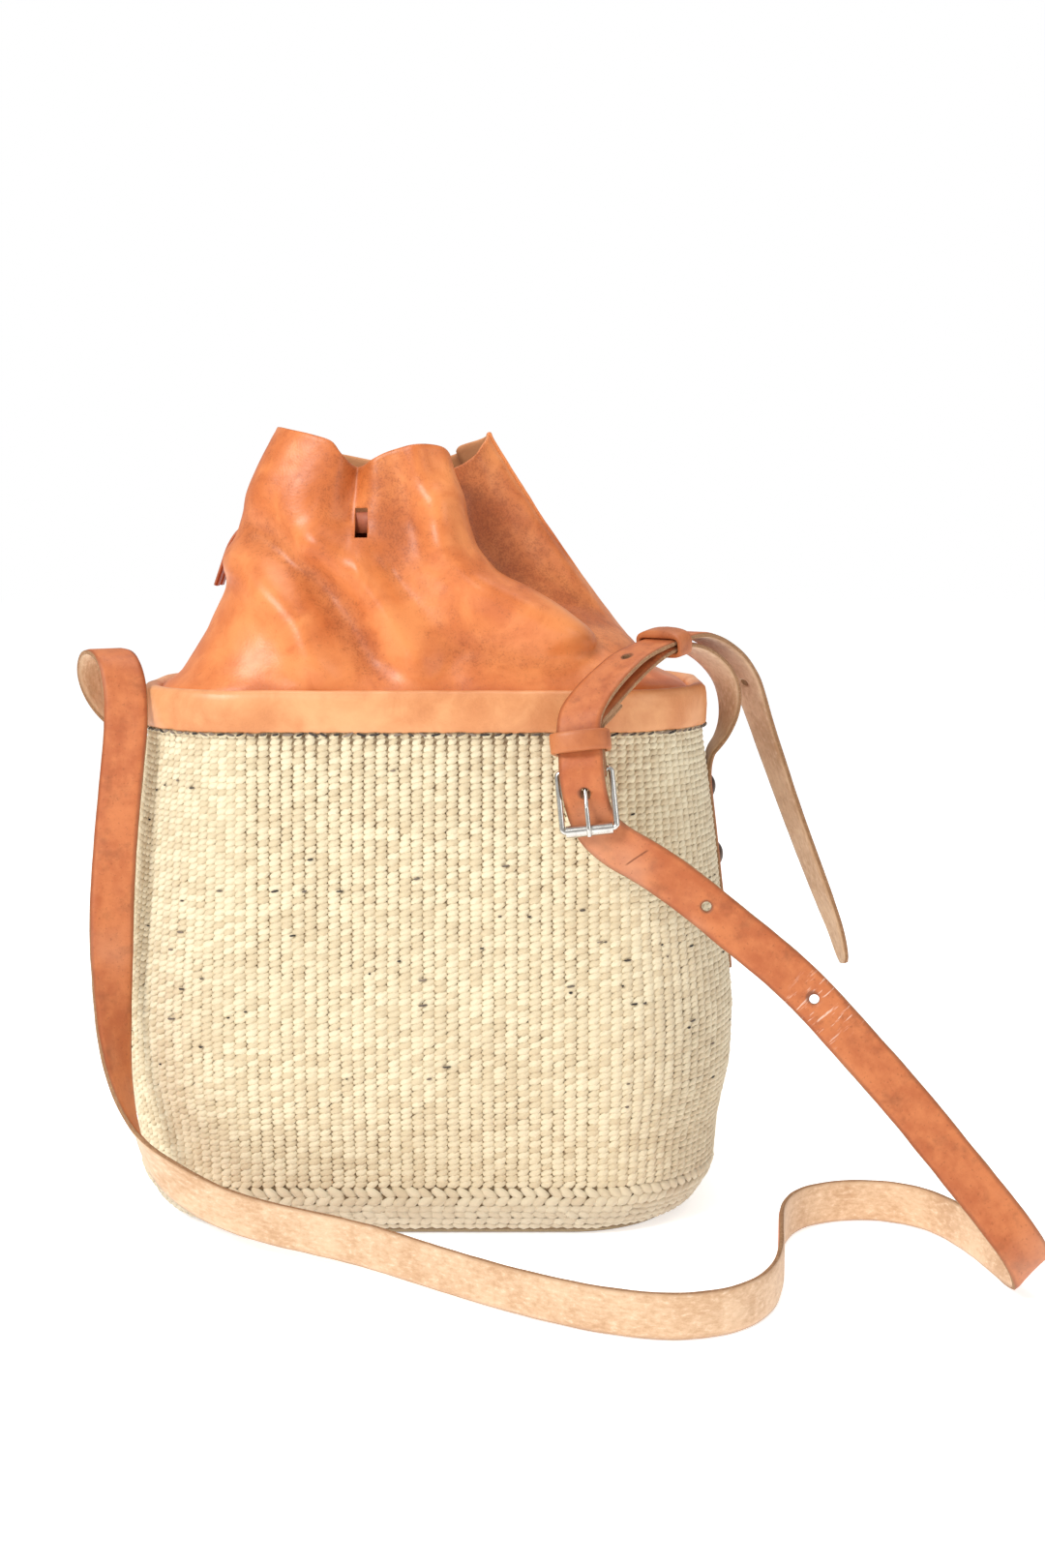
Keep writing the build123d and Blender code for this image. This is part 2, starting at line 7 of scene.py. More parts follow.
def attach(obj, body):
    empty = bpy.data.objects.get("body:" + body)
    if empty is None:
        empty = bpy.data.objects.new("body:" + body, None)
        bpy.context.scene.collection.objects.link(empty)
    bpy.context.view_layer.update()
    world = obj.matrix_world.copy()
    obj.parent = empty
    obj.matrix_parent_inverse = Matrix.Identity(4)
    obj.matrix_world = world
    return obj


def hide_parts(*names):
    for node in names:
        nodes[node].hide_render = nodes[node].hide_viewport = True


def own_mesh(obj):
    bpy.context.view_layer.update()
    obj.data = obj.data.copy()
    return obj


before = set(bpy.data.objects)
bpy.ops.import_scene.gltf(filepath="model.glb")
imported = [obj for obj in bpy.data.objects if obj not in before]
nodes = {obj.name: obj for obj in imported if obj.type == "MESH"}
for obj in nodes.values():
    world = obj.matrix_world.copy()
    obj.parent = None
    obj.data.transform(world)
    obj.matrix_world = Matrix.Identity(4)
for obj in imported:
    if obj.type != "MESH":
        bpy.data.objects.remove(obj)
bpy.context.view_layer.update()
print("frame loaded")


# nodes in materials and geometry trees

class Value:
    # wraps an output socket, so that + - * / on it add Math nodes
    def __init__(self, board, socket):
        self.board = board
        self.socket = socket

    def sum(self, operation, first, second):
        return self.board.add("ShaderNodeMath", {"operation": operation}, {0: first, 1: second})

    def __add__(self, other):
        return self.sum("ADD", self, other)

    def __radd__(self, other):
        return self.sum("ADD", other, self)

    def __sub__(self, other):
        return self.sum("SUBTRACT", self, other)

    def __rsub__(self, other):
        return self.sum("SUBTRACT", other, self)

    def __mul__(self, other):
        return self.sum("MULTIPLY", self, other)

    def __rmul__(self, other):
        return self.sum("MULTIPLY", other, self)

    def __abs__(self):
        return self.sum("ABSOLUTE", self, 0.0)


class Board:
    # adds nodes to one tree
    def __init__(self, tree):
        self.tree = tree

    def add(self, kind, settings=None, values=None, out=0):
        node = self.tree.nodes.new(kind)
        for name, setting in (settings or {}).items():
            setattr(node, name, setting)
        for key, value in (values or {}).items():
            if isinstance(key, int):
                socket = node.inputs[key]
            else:
                socket = next(s for s in node.inputs if s.name == key and s.enabled)
            if isinstance(value, Value):
                self.tree.links.new(value.socket, socket)
            else:
                socket.default_value = value
        if isinstance(out, int):
            return Value(self, node.outputs[out])
        return Value(self, next(s for s in node.outputs if s.name == out and s.enabled))


class Finish(Board):
    # one procedural material
    def __init__(self, name, **fixed):
        self.material = bpy.data.materials.new(name)
        self.material.use_nodes = True
        super().__init__(self.material.node_tree)
        self.shader = self.tree.nodes["Principled BSDF"]
        for socket, number in fixed.items():
            self.shader.inputs[socket.replace("_", " ")].default_value = number

    def place(self):
        return self.add("ShaderNodeTexCoord", out="Object")

    def lay(self, name):
        return self.add("ShaderNodeUVMap", {"uv_map": name})

    def axis(self, vector, letter):
        return self.add("ShaderNodeSeparateXYZ", values={0: vector}, out="XYZ".index(letter))

    def stretched(self, vector, scale, turn=(0, 0, 0)):
        return self.add("ShaderNodeMapping", values={"Vector": vector, "Scale": scale, "Rotation": turn})

    def grain(self, vector, scale, detail=3.0, roughness=0.55, distortion=0.0):
        return self.add("ShaderNodeTexNoise", values={
            "Vector": vector, "Scale": scale, "Detail": detail, "Roughness": roughness,
            "Distortion": distortion})

    def cells(self, vector, scale):
        return self.add("ShaderNodeTexVoronoi", {"feature": "F1"}, {"Vector": vector, "Scale": scale})

    def between(self, value, low, high):
        return self.add("ShaderNodeMapRange", {"interpolation_type": "SMOOTHSTEP"},
                        {"Value": value, "From Min": low, "From Max": high})

    def shade(self, factor, first, second):
        def colour(c):
            return c if isinstance(c, Value) else (*c, 1)
        factorValue = factor if isinstance(factor, Value) else float(factor)
        return self.add("ShaderNodeMix", {"data_type": "RGBA"},
                        {0: factorValue, 6: colour(first), 7: colour(second)}, out=2)

    def mark(self, name):
        return self.add("ShaderNodeAttribute", {"attribute_name": name}, out="Fac")

    def relief(self, height, strength, depth):
        return self.add("ShaderNodeBump", values={"Strength": strength, "Distance": depth, "Height": height})

    def done(self, colour, roughness=None, normal=None):
        for socket, value in (("Base Color", colour), ("Roughness", roughness), ("Normal", normal)):
            if isinstance(value, Value):
                self.tree.links.new(value.socket, self.shader.inputs[socket])
        return self.material


# finishes

# grey is also the painted shade of the sisal's right end; gap is the painted shade between the stitches
sisalLook = {"pale": (0.80, 0.70, 0.49), "mid": (0.66, 0.54, 0.35), "grey": (0.50, 0.43, 0.34),
             "gap": (0.22, 0.14, 0.07)}
tanLook = {"rimLight": (0.76, 0.36, 0.155), "rimDeep": (0.64, 0.25, 0.09),
           "collarLight": (0.76, 0.26, 0.078), "collarMid": (0.60, 0.155, 0.036),
           "collarDark": (0.27, 0.060, 0.012),
           "strapLight": (0.56, 0.175, 0.056), "strapMid": (0.42, 0.105, 0.029),
           "strapDark": (0.17, 0.040, 0.011),
           "flesh": (0.73, 0.50, 0.315), "fleshDeep": (0.52, 0.30, 0.155)}


def makeSisal():
    look = Finish("sisal", Roughness=0.85, Sheen_Weight=0.15)
    place = look.place()
    tone = look.mark("tone")
    fibre = look.grain(look.stretched(place, (1, 1, 2.2)), 900, 2)
    patch = look.grain(place, 28, 3)
    # darker and greyer towards the bottom; painted shade on the right end, which faces away from the light
    low = 1 - look.between(look.axis(place, "Z"), 0.008, 0.030)
    shadedRight = look.between(look.axis(place, "X"), 0.085, 0.15) * 0.35
    pale = look.shade(look.between(tone * 0.8 + fibre * 0.35, 0.15, 0.85), sisalLook["mid"],
                      sisalLook["pale"])
    darkened = look.shade(look.between(patch, 0.35, 0.7) * 0.35, pale, sisalLook["mid"])
    grey = look.shade(low * 0.55 + shadedRight * (1 - low), darkened, sisalLook["grey"])
    return look.done(grey, 0.8 + fibre * 0.15, look.relief(fibre, 0.5, 0.0004))


def makeShell():
    # painted shade: the wall behind the stitches and its inner face are sisal coloured much darker, so the
    # gaps between the stitches read as shade
    look = Finish("shadedSisalInside", Roughness=0.9)
    place = look.place()
    weave = look.add("ShaderNodeTexWave", {"wave_type": "BANDS", "bands_direction": "Z"},
                     {"Vector": place, "Scale": 110.0, "Distortion": 3.0, "Detail": 2.0,
                      "Detail Scale": 60.0}, out="Fac")
    fibre = look.grain(place, 500, 3)
    deep = look.between(weave * 0.7 + fibre * 0.4, 0.2, 0.9)
    colour = look.shade(deep, sisalLook["gap"], (0.46, 0.35, 0.21))
    return look.done(colour, None, look.relief(weave + fibre * 0.5, 0.6, 0.0008))


def leather(name, light, middle, dark, roughness, speckle=0.5, pore=900.0, coat=0.06, tinted=False):
    look = Finish(name, Specular_IOR_Level=0.42, Coat_Weight=coat, Coat_Roughness=0.32)
    place = look.place()
    cloud = look.grain(place, 17, 3, 0.55, 0.4)
    blot = look.grain(place, 48, 5, 0.62, 0.5)
    pores = look.cells(place, pore)
    fine = look.grain(place, 1050, 4, 0.7)
    coarse = look.grain(place, 230, 3, 0.6)
    darkened = look.between(cloud * 0.6 + blot * 0.4, 0.45, 0.64)
    if tinted:
        # for the collar the tint adds painted shade in the fold valleys, and browner places with the back
        # flap partly painted shade, to the darker mottling
        tint = look.axis(look.lay("tint"), "X")
        darkened = look.between(cloud * 0.45 + blot * 0.4 + coarse * 0.12 + tint * 0.27, 0.44, 0.86)
    base = look.shade(look.between(blot * 0.5 + cloud * 0.5, 0.36, 0.62), light, middle)
    deep = look.shade(darkened * speckle * 0.62, base, dark)
    specks = look.between(fine * 0.7 + coarse * 0.3 + darkened * 0.10, 0.54, 0.67)
    colour = look.shade(specks * (speckle * 0.34 + darkened * speckle * 0.36), deep, dark)
    rough = roughness + blot * 0.14 + darkened * 0.08
    relief = pores * 0.45 + look.grain(place, 210, 3) * 0.55
    return look.done(colour, rough, look.relief(relief, 0.25, 0.0004))


# lengthwise places are measured from the prong's hole
strap = {"width": 0.020, "thickness": 0.0028, "chape": 0.0026, "hole": 0.0022, "taper": 0.048, "tip": 0.25,
         "holes": (-0.137, -0.077, 0.075, 0.126, 0.178)}


def makeStrapGrain():
    look = Finish("strapGrain", Specular_IOR_Level=0.4, Coat_Weight=0.05, Coat_Roughness=0.4)
    lay = look.lay("lay")
    across, along = look.axis(lay, "X"), look.axis(lay, "Y")
    cloud = look.grain(look.stretched(lay, (1, 0.5, 1)), 45, 4, 0.6)
    blot = look.grain(lay, 150, 4, 0.6)
    specks = look.between(look.grain(lay, 640, 2), 0.6, 0.72)
    base = look.shade(look.between(cloud * 0.6 + blot * 0.4, 0.36, 0.62), tanLook["strapMid"],
                      tanLook["strapLight"])
    mottled = look.shade(look.between(look.grain(lay, 70, 5, 0.68), 0.50, 0.70) * 0.38, base,
                         tanLook["strapDark"])
    rubbed = look.shade(look.between(abs(across) + cloud * 0.0014, 0.0086, 0.0104) * 0.45, mottled,
                        tanLook["strapDark"])
    pale = look.shade(look.between(look.grain(lay, 12, 3), 0.52, 0.75) * 0.35, rubbed, (0.70, 0.42, 0.28))
    flexed = 1 - look.between(abs(along + 0.144), 0.006, 0.022)
    cracks = look.between(look.grain(look.stretched(lay, (0.30, 2.6, 1), (0, 0, 0.25)), 230, 3, 0.7), 0.57,
                          0.66) * flexed
    scored = (1 - look.between(abs(along + 0.040 - across * 0.5), 0.0002, 0.0006)) * (1
        - look.between(abs(across), 0.004, 0.006))
    lined = look.shade(cracks * 0.7, pale, (0.80, 0.58, 0.46))
    marked = look.shade(scored * 0.8, lined, tanLook["strapDark"])
    darkened = marked  # darker round the holes
    for hole in strap["holes"] + (0.0,):
        step = along - hole
        ring = 1 - look.between(across * across + step * step, 0.0021 ** 2, 0.0036 ** 2)
        darkened = look.shade(ring * 0.75, darkened, (0.16, 0.05, 0.02))
    colour = look.shade(specks * 0.35, darkened, tanLook["strapDark"])
    crease = look.grain(look.stretched(lay, (0.35, 3.0, 1)), 160, 3, 0.6) + cracks * 0.5
    relief = look.cells(lay, 900) * 0.45 + crease * 0.55
    return look.done(colour, 0.46 + blot * 0.18, look.relief(relief, 0.25, 0.0004))


def makeStrapFlesh():
    look = Finish("strapFlesh", Roughness=0.92, Sheen_Weight=0.25, Sheen_Roughness=0.6)
    lay = look.lay("lay")
    nap = look.grain(look.stretched(lay, (1, 0.45, 1)), 520, 4, 0.7)
    cloud = look.grain(lay, 40, 4, 0.6)
    strands = look.cells(look.stretched(lay, (1, 0.3, 1)), 420)
    edge = look.between(abs(look.axis(lay, "X")) + nap * 0.0012, 0.0092, 0.0106)
    base = look.shade(look.between(cloud * 0.5 + nap * 0.5, 0.34, 0.62), tanLook["fleshDeep"],
                      tanLook["flesh"])
    pale = look.shade(look.between(nap, 0.55, 0.75) * 0.5, base, (0.86, 0.70, 0.52))
    spots = look.between(look.grain(lay, 330, 2, 0.5), 0.70, 0.76) * look.between(look.grain(lay, 22, 2), 0.5,
        0.62)
    stained = look.shade(spots * 0.6, pale, (0.34, 0.17, 0.08))
    colour = look.shade(edge * 0.6, stained, (0.36, 0.19, 0.09))
    return look.done(colour, None, look.relief(nap + strands * 0.4, 0.5, 0.0006))


def makeStrapEdge():
    look = Finish("strapEdge", Roughness=0.9)
    lay = look.lay("lay")
    place = look.place()
    fuzz = look.grain(look.stretched(lay, (3, 0.6, 1)), 420, 4, 0.7)
    fine = look.grain(place, 900, 3, 0.7)
    base = look.shade(look.between(fuzz * 0.6 + fine * 0.4, 0.38, 0.66), (0.26, 0.125, 0.055),
                      (0.46, 0.26, 0.13))
    colour = look.shade(look.between(fine, 0.62, 0.75), base, (0.66, 0.46, 0.28))
    return look.done(colour, None, look.relief(fuzz + fine, 0.6, 0.0005))


def makeThread():
    look = Finish("thread", Roughness=0.75)
    place = look.place()
    tone = look.mark("tone")
    ply = look.grain(place, 1400, 2)
    colour = look.shade(look.between(tone + ply * 0.4, 0.35, 1.25), (0.030, 0.024, 0.02), (0.26, 0.20, 0.15))
    return look.done(colour, None, look.relief(ply, 0.5, 0.0002))


def metal(name, bright, dull, roughness, spread):
    look = Finish(name, Metallic=1.0)
    place = look.place()
    cloud = look.grain(place, 160, 4, 0.6)
    scratch = look.grain(look.stretched(place, (1, 1, 9), (0.5, 0.3, 0.2)), 700, 2)
    colour = look.shade(look.between(cloud, 0.35, 0.7), bright, dull)
    return look.done(colour, roughness + cloud * spread,
                     look.relief(scratch * 0.6 + cloud * 0.4, 0.08, 0.0002))


sisal = makeSisal()
shadedSisalInside = makeShell()
rimLeather = leather("rimLeather", tanLook["rimLight"], tanLook["rimDeep"], (0.42, 0.13, 0.04), 0.36, 0.25,
                     1100.0, 0.1)
collarLeather = leather("collarLeather", tanLook["collarLight"], tanLook["collarMid"], tanLook["collarDark"],
                        0.33, 0.8, tinted=True)
collarInside = leather("collarInside", (0.62, 0.28, 0.12), (0.50, 0.19, 0.075), (0.30, 0.10, 0.04), 0.7, 0.4,
                       700.0, 0.0)
thongLeather = leather("thongLeather", (0.44, 0.12, 0.045), (0.34, 0.08, 0.03), (0.14, 0.03, 0.012), 0.45,
                       0.4)
keeperLeather = leather("keeperLeather", (0.54, 0.185, 0.062), (0.43, 0.12, 0.035), (0.20, 0.048, 0.013),
                        0.40, 0.5)
patchSuede = leather("patchSuede", (0.60, 0.40, 0.24), (0.50, 0.31, 0.17), (0.36, 0.20, 0.10), 0.8, 0.3,
                     500.0, 0.0)
strapGrain = makeStrapGrain()
strapFlesh = makeStrapFlesh()
strapEdge = makeStrapEdge()
thread = makeThread()
nickel = metal("nickel", (0.66, 0.64, 0.60), (0.46, 0.44, 0.41), 0.16, 0.16)
rivetMetal = metal("rivetMetal", (0.16, 0.12, 0.10), (0.07, 0.05, 0.042), 0.34, 0.2)
print("finishes ready")


# small mesh helpers

def build(name, points, faces, materials, indices=None, smooth=True):
    mesh = bpy.data.meshes.new(name)
    mesh.from_pydata([tuple(p) for p in points], [], faces)
    for material in materials:
        mesh.materials.append(material)
    if indices is not None:
        mesh.polygons.foreach_set("material_index", indices)
    mesh.polygons.foreach_set("use_smooth", [smooth] * len(mesh.polygons))
    mesh.update()
    piece = bpy.data.objects.new(name, mesh)
    bpy.context.scene.collection.objects.link(piece)
    return piece


def remove(*pieces):
    for piece in pieces:
        bpy.data.objects.remove(piece, do_unlink=True)


def frozen(piece, name):
    # the evaluated mesh as a plain object with no modifiers
    bpy.context.view_layer.update()
    graph = bpy.context.evaluated_depsgraph_get()
    mesh = bpy.data.meshes.new_from_object(piece.evaluated_get(graph), preserve_all_data_layers=True,
                                           depsgraph=graph)
    mesh.name = name
    plain = bpy.data.objects.new(name, mesh)
    bpy.context.scene.collection.objects.link(plain)
    remove(piece)
    plain.name = name
    return plain


def grid(columns, rows, closed):
    # quads of a rows x columns grid of points, wrapped round when closed
    last = columns if closed else columns - 1
    return [(r * columns + c, r * columns + (c + 1) % columns, (r + 1) * columns + (c + 1) % columns,
             (r + 1) * columns + c)
            for r in range(rows - 1) for c in range(last)]


def cut(piece, cutters, name):
    for cutter in cutters:
        hole = piece.modifiers.new("hole", "BOOLEAN")
        hole.operation = "DIFFERENCE"
        hole.solver = "EXACT"
        hole.object = cutter
    plain = frozen(piece, name)
    remove(*cutters)
    return plain


def peg(centre, direction, radius, length, material, sides=20):
    # a cutter: a closed round bar round centre
    direction = Vector(direction).normalized()
    turn = direction.to_track_quat("Z", "Y").to_matrix()
    ring = [turn @ Vector((radius * math.cos(a), radius * math.sin(a), 0))
            for a in (2 * math.pi * k / sides for k in range(sides))]
    ends = [Vector(centre) + direction * (length / 2 * s) for s in (-1, 1)]
    points = [end + p for end in ends for p in ring]
    faces = grid(sides, 2, True) + [tuple(range(sides))[::-1], tuple(range(sides, 2 * sides))]
    return build("cutter", points, faces, [material], smooth=False)


def block(low, high, material):
    points = [(x, y, z) for z in (low[2], high[2]) for x, y in
              ((low[0], low[1]), (high[0], low[1]), (high[0], high[1]), (low[0], high[1]))]
    faces = grid(4, 2, True) + [(3, 2, 1, 0), (4, 5, 6, 7)]
    return build("cutter", points, faces, [material], smooth=False)


def soften(values, reach, wrapped=True):
    # moving average along a list of numbers
    kernel = np.hanning(2 * reach + 3)[1:-1]
    kernel /= kernel.sum()
    padded = np.pad(np.asarray(values, float), reach, mode="wrap" if wrapped else "edge")
    return np.convolve(padded, kernel, mode="valid")


# scattering one small shape over points

def scatterTree():
    tree = bpy.data.node_groups.new("scatter", "GeometryNodeTree")
    for name, kind in (("points", "Geometry"), ("stamp", "Object"), ("finish", "Material"),
                       ("turnSpread", "Float"), ("sizeSpread", "Float"), ("seed", "Int")):
        tree.interface.new_socket(name, in_out="INPUT", socket_type="NodeSocket" + kind)
    tree.interface.new_socket("mesh", in_out="OUTPUT", socket_type="NodeSocketGeometry")
    board = Board(tree)
    entry = tree.nodes.new("NodeGroupInput")
    given = {socket.name: Value(board, socket) for socket in entry.outputs if socket.name}

    def stored(name):
        return board.add("GeometryNodeInputNamedAttribute", {"data_type": "FLOAT_VECTOR"}, {"Name": name},
                         out="Attribute")

    def chance(low, high, extra):
        return board.add("FunctionNodeRandomValue", {"data_type": "FLOAT"},
                         {"Min": low, "Max": high, "Seed": given["seed"] + extra}, out="Value")

    facing = board.add("FunctionNodeAlignRotationToVector", {"axis": "Z"}, {"Vector": stored("outwards")})
    laid = board.add("FunctionNodeAlignRotationToVector", {"axis": "X", "pivot_axis": "Z"},
                     {"Rotation": facing, "Vector": stored("along")})
    spin = board.add("ShaderNodeCombineXYZ",
                     values={"Z": chance(given["turnSpread"] * -1, given["turnSpread"], 1)})
    turned = board.add("FunctionNodeRotateRotation", {"rotation_space": "LOCAL"},
                       {"Rotation": laid, "Rotate By": board.add("FunctionNodeEulerToRotation",
                                                                 values={0: spin})})
    size = board.add("ShaderNodeVectorMath", {"operation": "SCALE"},
                     {0: stored("size"), "Scale": chance(1 - given["sizeSpread"], 1 + given["sizeSpread"],
                                                         2)})
    stamp = board.add("GeometryNodeObjectInfo", values={"Object": given["stamp"]}, out="Geometry")
    spread = board.add("GeometryNodeInstanceOnPoints", values={
        "Points": given["points"], "Instance": stamp, "Rotation": turned, "Scale": size})
    toned = board.add("GeometryNodeStoreNamedAttribute", {"data_type": "FLOAT", "domain": "INSTANCE"},
                      {"Geometry": spread, "Name": "tone", "Value": chance(0.0, 1.0, 3)})
    solid = board.add("GeometryNodeRealizeInstances", values={"Geometry": toned})
    leave = tree.nodes.new("NodeGroupOutput")
    painted = board.add("GeometryNodeSetMaterial", values={"Geometry": solid, "Material": given["finish"]})
    tree.links.new(painted.socket, leave.inputs[0])
    return tree


scatter = scatterTree()


def scattered(name, rows, stamp, finish, seed, turnSpread=0.0, sizeSpread=0.0):
    # rows holds (position, outwards, along, size) of each copy of the stamp
    mesh = bpy.data.meshes.new(name)
    mesh.from_pydata([tuple(row[0]) for row in rows], [], [])
    for column, title in ((1, "outwards"), (2, "along"), (3, "size")):
        layer = mesh.attributes.new(title, "FLOAT_VECTOR", "POINT")
        layer.data.foreach_set("vector", [number for row in rows for number in row[column]])
    carrier = bpy.data.objects.new(name + "Points", mesh)
    bpy.context.scene.collection.objects.link(carrier)
    modifier = carrier.modifiers.new("scatter", "NODES")
    modifier.node_group = scatter
    given = {"stamp": stamp, "finish": finish, "turnSpread": turnSpread, "sizeSpread": sizeSpread,
             "seed": seed}
    for item in scatter.interface.items_tree:
        if item.in_out == "INPUT" and item.name in given:
            modifier[item.identifier] = given[item.name]
    return frozen(carrier, name)


def grainStamp(name, length, height, lift, sink, sides=5):
    # a plump grain lying along X whose two ends dip, seen from +Z
    stations = [(-0.32, 0.80, 0.35), (0.0, 1.0, 1.0), (0.32, 0.80, 0.35)]
    points = [(-0.5 * length, 0, -sink)]
    for place, girth, rise in stations:
        for k in range(sides):
            angle = 2 * math.pi * (k + 0.5) / sides + math.pi / 2 + math.pi / sides
            points.append((place * length, 0.5 * height * girth * math.cos(angle),
                           lift * rise * 0.35 - sink * (1 - rise) * 0.3
                           + 0.65 * lift * girth * math.sin(angle)))
    points.append((0.5 * length, 0, -sink))
    faces = [(0, 1 + (k + 1) % sides, 1 + k) for k in range(sides)]
    faces += [(1 + f[0], 1 + f[1], 1 + f[2], 1 + f[3]) for f in grid(sides, 3, True)]
    top = len(points) - 1
    faces += [(top, top - sides + k, top - sides + (k + 1) % sides) for k in range(sides)]
    return build(name, points, faces, [sisal])


# the basket's outline and wall

basket = {"halfWidth": 0.149, "halfDepth": 0.090, "corner": 0.070, "height": 0.253, "wall": 0.0045,
          "base": 0.005,
          "footPull": 0.010, "footHeight": 0.020,
          "heights": (0, 6, 20, 45, 72, 100, 125, 150, 185, 215, 232, 253),
          "insets": (16, 10, 8.5, 6.5, 1, 0, 2.5, 6, 10, 14, 16.3, 16.3)}
wallHeights = np.linspace(0, 0.253, 254)
wallInsets = soften(np.interp(wallHeights * 1000, basket["heights"], basket["insets"]), 5, False) / 1000
runs = (basket["halfWidth"] - basket["corner"], basket["halfDepth"] - basket["corner"])
quarterTurn = basket["corner"] * math.pi / 2
outlineLength = 4 * (runs[0] + runs[1]) + 4 * quarterTurn


def insetAt(z):
    return float(np.interp(z, wallHeights, wallInsets))


def roundedBox(share, halfX, halfY, radius):
    # point and outward normal on a rounded box; the same share is on the same leg whatever its size
    left = share % 1 * outlineLength
    for side in range(4):
        angle = (side - 1) * math.pi / 2
        out = Vector((math.cos(angle), math.sin(angle)))
        along = Vector((-out.y, out.x))
        reach, spread = (halfY, halfX) if side % 2 == 0 else (halfX, halfY)
        run = 2 * runs[side % 2]
        if left <= run:
            return out * reach + along * (left / run * 2 - 1) * (spread - radius), out
        left -= run
        if left <= quarterTurn:
            turn = angle + left / quarterTurn * math.pi / 2
            normal = Vector((math.cos(turn), math.sin(turn)))
            return out * (reach - radius) + along * (spread - radius) + normal * radius, normal
        left -= quarterTurn
    return out * reach, out


def footed(share, z):
    # the widest outline, with its ends drawn in a little by the ground
    pull = basket["footPull"] * max(0, 1 - z / basket["footHeight"])
    return roundedBox(share, basket["halfWidth"] - pull, basket["halfDepth"], basket["corner"])


def wallPoint(share, z, inset=0.0, lift=0.0):
    # on the basket's wall: position, outward normal and the direction round the basket
    point, out = footed(share, z)
    slope = (insetAt(z + 0.002) - insetAt(z - 0.002)) / 0.004
    normal = Vector((out.x, out.y, slope)).normalized()
    spot = point - out * (insetAt(z) + inset)
    return Vector((spot.x, spot.y, z)) + normal * lift, normal, Vector((-out.y, out.x, 0))


def swept(name, profile, around, materials):
    # closed profile of (inset from the widest outline, height) carried round the outline
    points = []
    for k in range(around):
        share = k / around
        point, out = roundedBox(share, basket["halfWidth"], basket["halfDepth"], basket["corner"])
        for inset, z in profile(share):
            spot = point - out * inset
            points.append((spot.x, spot.y, z))
    count = len(points) // around
    faces = [(k * count + j, ((k + 1) % around) * count + j,
              ((k + 1) % around) * count + (j + 1) % count, k * count + (j + 1) % count)
             for k in range(around) for j in range(count)]
    return build(name, points, faces, materials)


weave = {"columns": 156, "pitch": 0.00285, "first": 0.0265, "last": 0.2375, "length": 0.0082,
         "height": 0.0037,
         "lift": 0.0015, "slant": 27.0, "under": 0.0016, "inset": 0.0012, "seed": 7, "parts": 4,
         # foot of the wall: height, lean in degrees, size and count of the stitches of each row
         "foot": ((0.0222, -34, 1.30, 140), (0.0180, 34, 1.30, 140), (0.0142, 8, 1.15, 150),
                  (0.0112, -10, 1.1, 150), (0.0082, 12, 1.1, 150), (0.0054, -6, 1.0, 150))}


def makeShellMesh():
    # the wall behind the stitches, its base and its bare inner face
    levels = [0.0005, 0.004, 0.010, 0.02, 0.035, 0.05, 0.065, 0.08, 0.1, 0.12, 0.14, 0.16, 0.18, 0.2, 0.22,
              0.2525]
    outer = [(insetAt(z) + weave["under"], z) for z in levels]
    inner = [(insetAt(z) + basket["wall"], z) for z in reversed(levels) if z > basket["base"]]
    inner += [(insetAt(0.006) + basket["wall"], basket["base"])]
    floorInsets = [0.03, 0.045, 0.06, 0.0695]
    inside = [(inset, basket["base"]) for inset in floorInsets]
    outside = [(inset, 0.0002 + 0.0006 * (k % 2)) for k, inset in enumerate(reversed(floorInsets))]
    around = 168
    profile = outer + inner + inside
    points = []
    path = outside + profile
    for inset, z in path:
        for k in range(around):
            point, out = footed(k / around, z)
            spot = point - out * inset
            points.append((spot.x, spot.y, z))
    faces = grid(around, len(path), True)
    faces.append(tuple(range(around))[::-1])
    last = (len(path) - 1) * around
    faces.append(tuple(range(last, last + around)))
    return build("basketShell", points, faces, [shadedSisalInside])


basketShell = makeShellMesh()
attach(basketShell, "bag")
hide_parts("woven_basket")

stitchStamp = grainStamp("stitchStamp", 1, 1, 1, 1)


def makeStitches():
    random = np.random.default_rng(weave["seed"])
    rows = []
    slant = math.radians(weave["slant"])
    level = weave["first"]
    size = Vector((weave["length"], weave["height"], weave["lift"]))
    while level < weave["last"]:
        for column in range(weave["columns"]):
            share = (column + 0.5) / weave["columns"] + random.normal(0, 0.00018)
            spot, normal, round_ = wallPoint(share, level + random.normal(0, 0.00012), weave["inset"])
            up = normal.cross(round_)
            along = round_ * math.cos(slant) + up * math.sin(slant)
            wide = (outlineLength - 2 * math.pi * insetAt(level)) / outlineLength
            rows.append((spot, normal, along,
                         (size.x * wide, size.y, size.z * (0.9 + 0.2 * random.random()))))
        level += weave["pitch"]
    # two thicker rows lean against each other at the foot, above coarse rings
    for level, lean, scale, count in weave["foot"]:
        for column in range(count):
            share = (column + 0.5) / count + random.normal(0, 0.0003)
            spot, normal, round_ = wallPoint(share, level + random.normal(0, 0.0002), weave["inset"])
            up = normal.cross(round_)
            tilt = math.radians(lean)
            along = round_ * math.cos(tilt) + up * math.sin(tilt)
            rows.append((spot, normal, along, (size.x * scale, size.y * scale, size.z * scale * 0.95)))
    rows.sort(key=lambda row: math.atan2(row[0].y, row[0].x))
    parts = weave["parts"]
    for k in range(parts):
        share = rows[len(rows) * k // parts:len(rows) * (k + 1) // parts]
        piece = scattered(f"weave_{k + 1}", share, stitchStamp, sisal, 11 + k, math.radians(7), 0.07)
        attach(piece, "bag")
    return len(rows)


print("stitches", makeStitches())


flecks = {"count": 150, "seed": 41, "lowRow": 4, "usualRow": 26, "highRow": 72, "shortest": 0.0012,
          "longest": 0.0042,
          "thick": 0.0009, "rise": 0.0006, "rising": 0.12}


